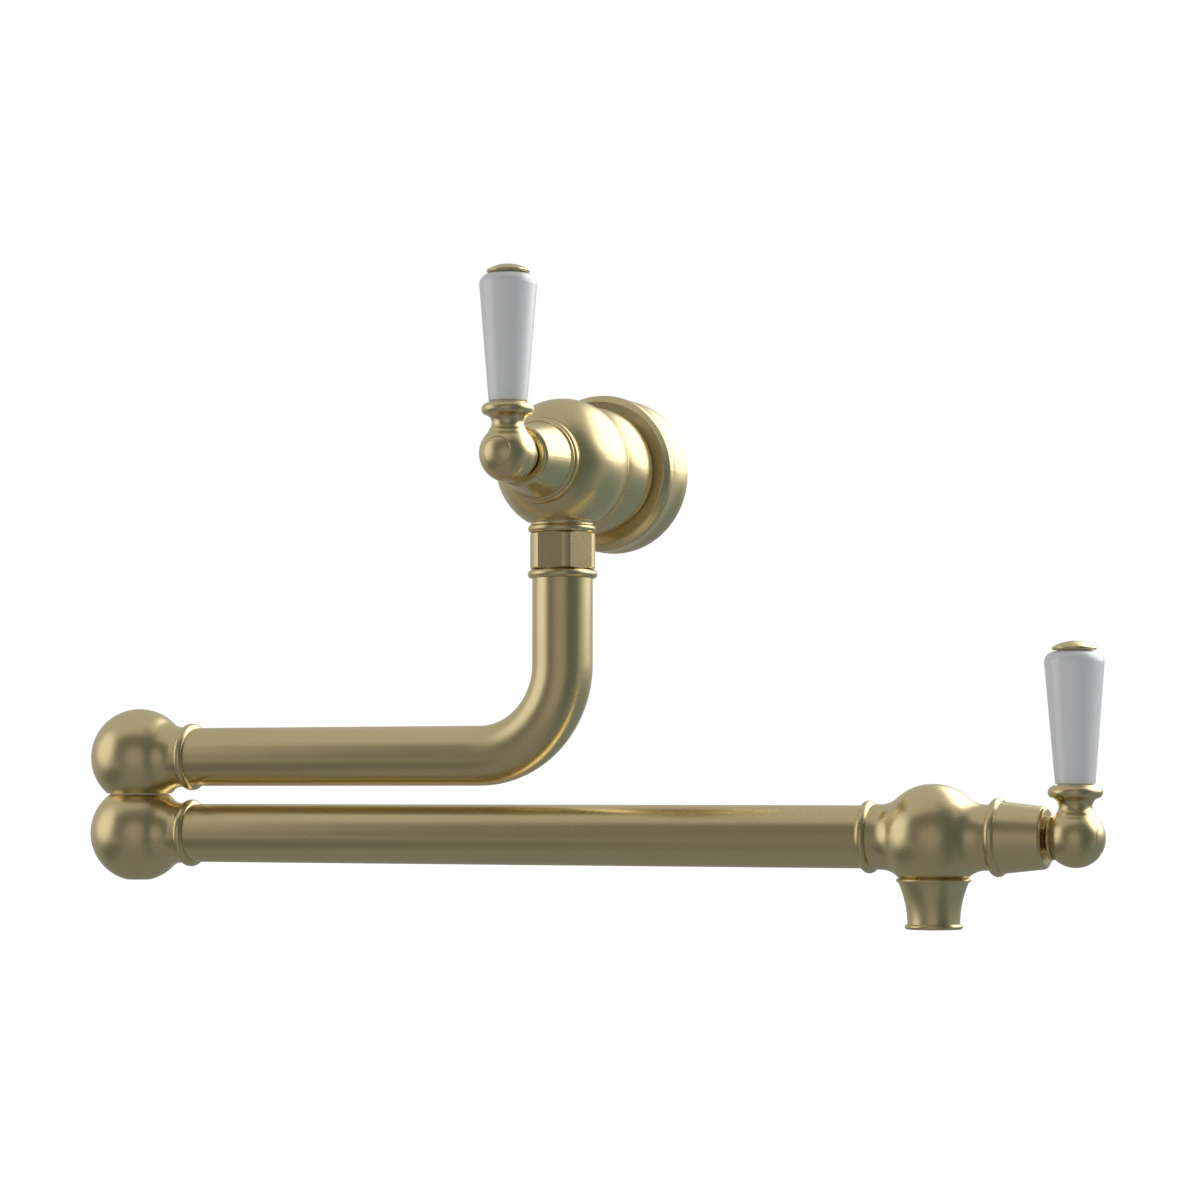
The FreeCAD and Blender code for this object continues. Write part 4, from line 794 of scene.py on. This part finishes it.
print("camera looks along:", tuple(round(v, 3) for v in -to_camera))

# %% [markdown]
# The cloth's tones were chosen from the reflections in the balls and tubes. First
# comes a tone for each height. Then soft oval patches are laid over it in order: dark ones
# for gaps and for the hollow round the camera, and bright ones for the softboxes. The
# last, far brighter than the rest, is the key light behind the tap's right side.

# %% Tones of the dome
# Degrees upwards, and the cloth's tone there.
HEIGHT_TONES = ((-90, (0.235, 0.24, 0.245)), (-50, (0.24, 0.245, 0.255)),
                (-25, (0.27, 0.275, 0.28)), (-8, (0.42, 0.415, 0.40)), (8, (0.50, 0.495, 0.475)),
                (60, (0.51, 0.505, 0.485)), (90, (0.51, 0.505, 0.485)))
# Degrees right of the camera and upwards, half sizes, softness of the edge, and tone.
PATCHES = ((-78, -33, 34, 14, 0.55, (0.145, 0.15, 0.15)),     # low dark gap at the left
           (0, 14, 73, 42, 0.20, (0.17, 0.172, 0.164)),       # hollow round the camera
           (-8, -2, 26, 24, 0.45, (0.36, 0.35, 0.335)),       # the photographer's screen
           (38, 8, 24, 62, 0.50, (0.115, 0.14, 0.138)),       # dark column at the right
           (105, -30, 52, 26, 0.60, (0.20, 0.255, 0.275)),    # blue floor at the right
           (-88, 11, 24, 25, 0.42, (1.00, 0.99, 0.97)),       # small softbox at the left
           (115, 33, 45, 27, 0.25, (2.60, 2.60, 2.60)))       # big round softbox, the key


def mix(first, second, share):
    return [a + (b - a) * share for a, b in zip(first, second)]


def tone_at_height(up):
    """Tone between the two listed heights that up lies between."""
    for (low, first), (high, last) in zip(HEIGHT_TONES, HEIGHT_TONES[1:]):
        if up <= high:
            return mix(first, last, (up - low) / (high - low))


def dome_tone(right, up):
    tone = tone_at_height(up)
    for middle_right, middle_up, half_width, half_height, soft, patch_tone in PATCHES:
        across = (right - middle_right + 180) % 360 - 180      # the short way round
        reach = math.hypot(across / half_width, (up - middle_up) / half_height)
        cover = min(max((1 + soft - reach) / (2 * soft), 0), 1)
        tone = mix(tone, patch_tone, cover * cover * (3 - 2 * cover))
    return tone + [1.0]


print("tone towards the camera:", [round(v, 3) for v in dome_tone(0, 0)])

# %% [markdown]
# The tones are stored at the dome's points and shine from there, so the dome needs no
# picture. Neither the camera nor dull surfaces see the dome, and it casts no shadow: here
# it shows in reflections only.

# %% The dome
DOME_RADIUS = 2.4                     # metres
DOME_ROUND, DOME_HIGH = 144, 72       # its faces round and upwards

dome_points, dome_faces, dome_tones = [], [], []
for j in range(DOME_HIGH + 1):
    up = -90 + 180 * j / DOME_HIGH
    for k in range(DOME_ROUND + 1):
        right = -180 + 360 * k / DOME_ROUND
        dome_points.append(tap_middle + way_to(right, up) * DOME_RADIUS)
        dome_tones.extend(dome_tone(right, up))
        if j and k:
            here = j * (DOME_ROUND + 1) + k
            under = here - DOME_ROUND - 1
            dome_faces.append((under - 1, under, here, here - 1))

dome_cloth = bpy.data.materials.new("dome_cloth")
dome_cloth.use_nodes = True
tree = dome_cloth.node_tree
tree.nodes.clear()
dome_glow = add(tree, "ShaderNodeEmission")
stored = add(tree, "ShaderNodeAttribute", attribute_name="tone")
feed(tree, dome_glow.inputs["Color"], stored.outputs["Color"])
feed(tree, add(tree, "ShaderNodeOutputMaterial").inputs["Surface"], dome_glow.outputs["Emission"])
dome = stage_mesh("dome", dome_points, dome_faces, dome_cloth)
dome.data.attributes.new("tone", "FLOAT_COLOR", "POINT").data.foreach_set("color", dome_tones)
dome.visible_camera = dome.visible_diffuse = dome.visible_shadow = False
print("dome faces:", len(dome_faces), "patches:", len(PATCHES))

# %% [markdown]
# The clay under the glaze and the floor are dull, and need real light. The dome could give
# it, but lamps in about the same places cast cleaner shadows. The metal already shows the
# softboxes that are painted on the dome, so reflections don't see the lamps.

# %% Lamps for the porcelain and the floor
def softbox(name, right, up, distance, width, height, glow):
    """Oval lamp that faces the tap; glow is how bright its face is, where 1 is white."""
    data = bpy.data.lights.new(name, "AREA")
    data.shape = "ELLIPSE"
    data.size, data.size_y = width, height
    area = math.pi / 4 * width * height
    data.energy = glow * math.pi * area
    lamp = bpy.data.objects.new(name, data)
    lamp.location = tap_middle + way_to(right, up) * distance
    lamp.rotation_euler = (-way_to(right, up)).to_track_quat("-Z", "Y").to_euler()
    lamp.visible_glossy = False
    bpy.context.scene.collection.objects.link(lamp)
    print("lamp", name, "watts:", round(data.energy, 1))


softbox("key", right=115, up=30, distance=1.8, width=1.9, height=1.5, glow=3.4)
softbox("left_fill", right=-80, up=11, distance=1.9, width=1.2, height=1.2, glow=1.6)

# %% [markdown]
# ## Background
#
# The photograph's background is plain white. A white world would do it, but it would also
# flood the tap with light from all round. So the world is white only for rays that see it
# as a background, from the camera, in reflections and through glass, and a dim grey for
# the rays that light things.

# %% World
WHITE = (1.0, 1.0, 1.0, 1.0)
DIM_GREY = (0.36, 0.36, 0.36, 1)


def background_ray(tree):
    """1 for camera, glossy and transmission rays, 0 for the rest."""
    light_path = add(tree, "ShaderNodeLightPath")
    seen = calc(tree, "MAXIMUM", light_path.outputs["Is Camera Ray"],
                light_path.outputs["Is Glossy Ray"])
    return calc(tree, "MAXIMUM", seen, light_path.outputs["Is Transmission Ray"])


world = bpy.data.worlds.new("studio")
bpy.context.scene.world = world
world.use_nodes = True
tree = world.node_tree
sky = tree.nodes["Background"]
feed(tree, sky.inputs["Color"], blend_colours(tree, background_ray(tree), DIM_GREY, WHITE))
feed(tree, sky.inputs["Strength"], 1.0)
print("world:", world.name, "dim grey:", DIM_GREY[0])

# %% [markdown]
# ## Floor
#
# Under the tap lies a pale floor that runs into the white. A curved backdrop would do it
# too, but this tap is also looked at from below. So the floor is one wide sheet of paint
# with a glow of its own: weak near the tap so that its shadow stays, and strong enough
# further out to meet the white. Seen from below it is clear. Reflections don't see it
# either, because the dome's low tones already stand for a floor.

# %% Floor
FLOOR_DROP = 0.20                      # metres under the tap
FLOOR_HALF = 40.0                      # metres, half of a side
FLOOR_PAINT = (0.80, 0.80, 0.80, 1)
NEAR, FAR = 0.3, 1.5                   # metres from the tap's middle
GLOW_NEAR, GLOW_FAR = 0.34, 0.76       # the lamps add the rest of the white

floor_paint = bpy.data.materials.new("floor_paint")
floor_paint.use_nodes = True
tree = floor_paint.node_tree
tree.nodes.clear()
matt = add(tree, "ShaderNodeBsdfDiffuse")
feed(tree, matt.inputs["Color"], FLOOR_PAINT)
glow = add(tree, "ShaderNodeEmission")
floor_place = add(tree, "ShaderNodeTexCoord").outputs["Object"]
from_tap = vector_calc(tree, "DISTANCE", floor_place, tuple(tap_middle))["Value"]
white_share = spread(tree, from_tap, NEAR, FAR, GLOW_NEAR, GLOW_FAR)
feed(tree, glow.inputs["Strength"], calc(tree, "MULTIPLY", background_ray(tree), white_share))

lit = add(tree, "ShaderNodeAddShader")
clear = add(tree, "ShaderNodeBsdfTransparent")
top_or_back = add(tree, "ShaderNodeMixShader")
back = add(tree, "ShaderNodeNewGeometry").outputs["Backfacing"]
for socket, value in ((lit.inputs[0], matt.outputs[0]), (lit.inputs[1], glow.outputs[0]),
                      (top_or_back.inputs[0], back), (top_or_back.inputs[1], lit.outputs[0]),
                      (top_or_back.inputs[2], clear.outputs[0])):
    feed(tree, socket, value)
feed(tree, add(tree, "ShaderNodeOutputMaterial").inputs["Surface"], top_or_back.outputs[0])

floor_height = cad_low.z - FLOOR_DROP
floor_corners = [Vector((FLOOR_HALF * side_x, FLOOR_HALF * side_y, floor_height))
                 for side_x, side_y in ((-1, -1), (1, -1), (1, 1), (-1, 1))]
floor = stage_mesh("floor", floor_corners, [(0, 1, 2, 3)], floor_paint)
floor.visible_glossy = False
print("floor height in m:", round(floor_height, 3))

# %% [markdown]
# ## Plain colours
#
# Blender's usual view softens bright tones, as film does. The Standard view shows a
# colour as it is written, which a plain product picture needs.

# %% View
bpy.context.scene.view_settings.view_transform = "Standard"
print("view:", bpy.context.scene.view_settings.view_transform)

# %% [markdown]
# ## Sizes
#
# The size of the dressed tap is printed here, as the solid tap's was at the start. The
# dressed tap must stay inside the size of the solid one.

# %% Print the size of the dressed tap
low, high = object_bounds()
print("visual size in metres:", [round(v, 4) for v in high - low])
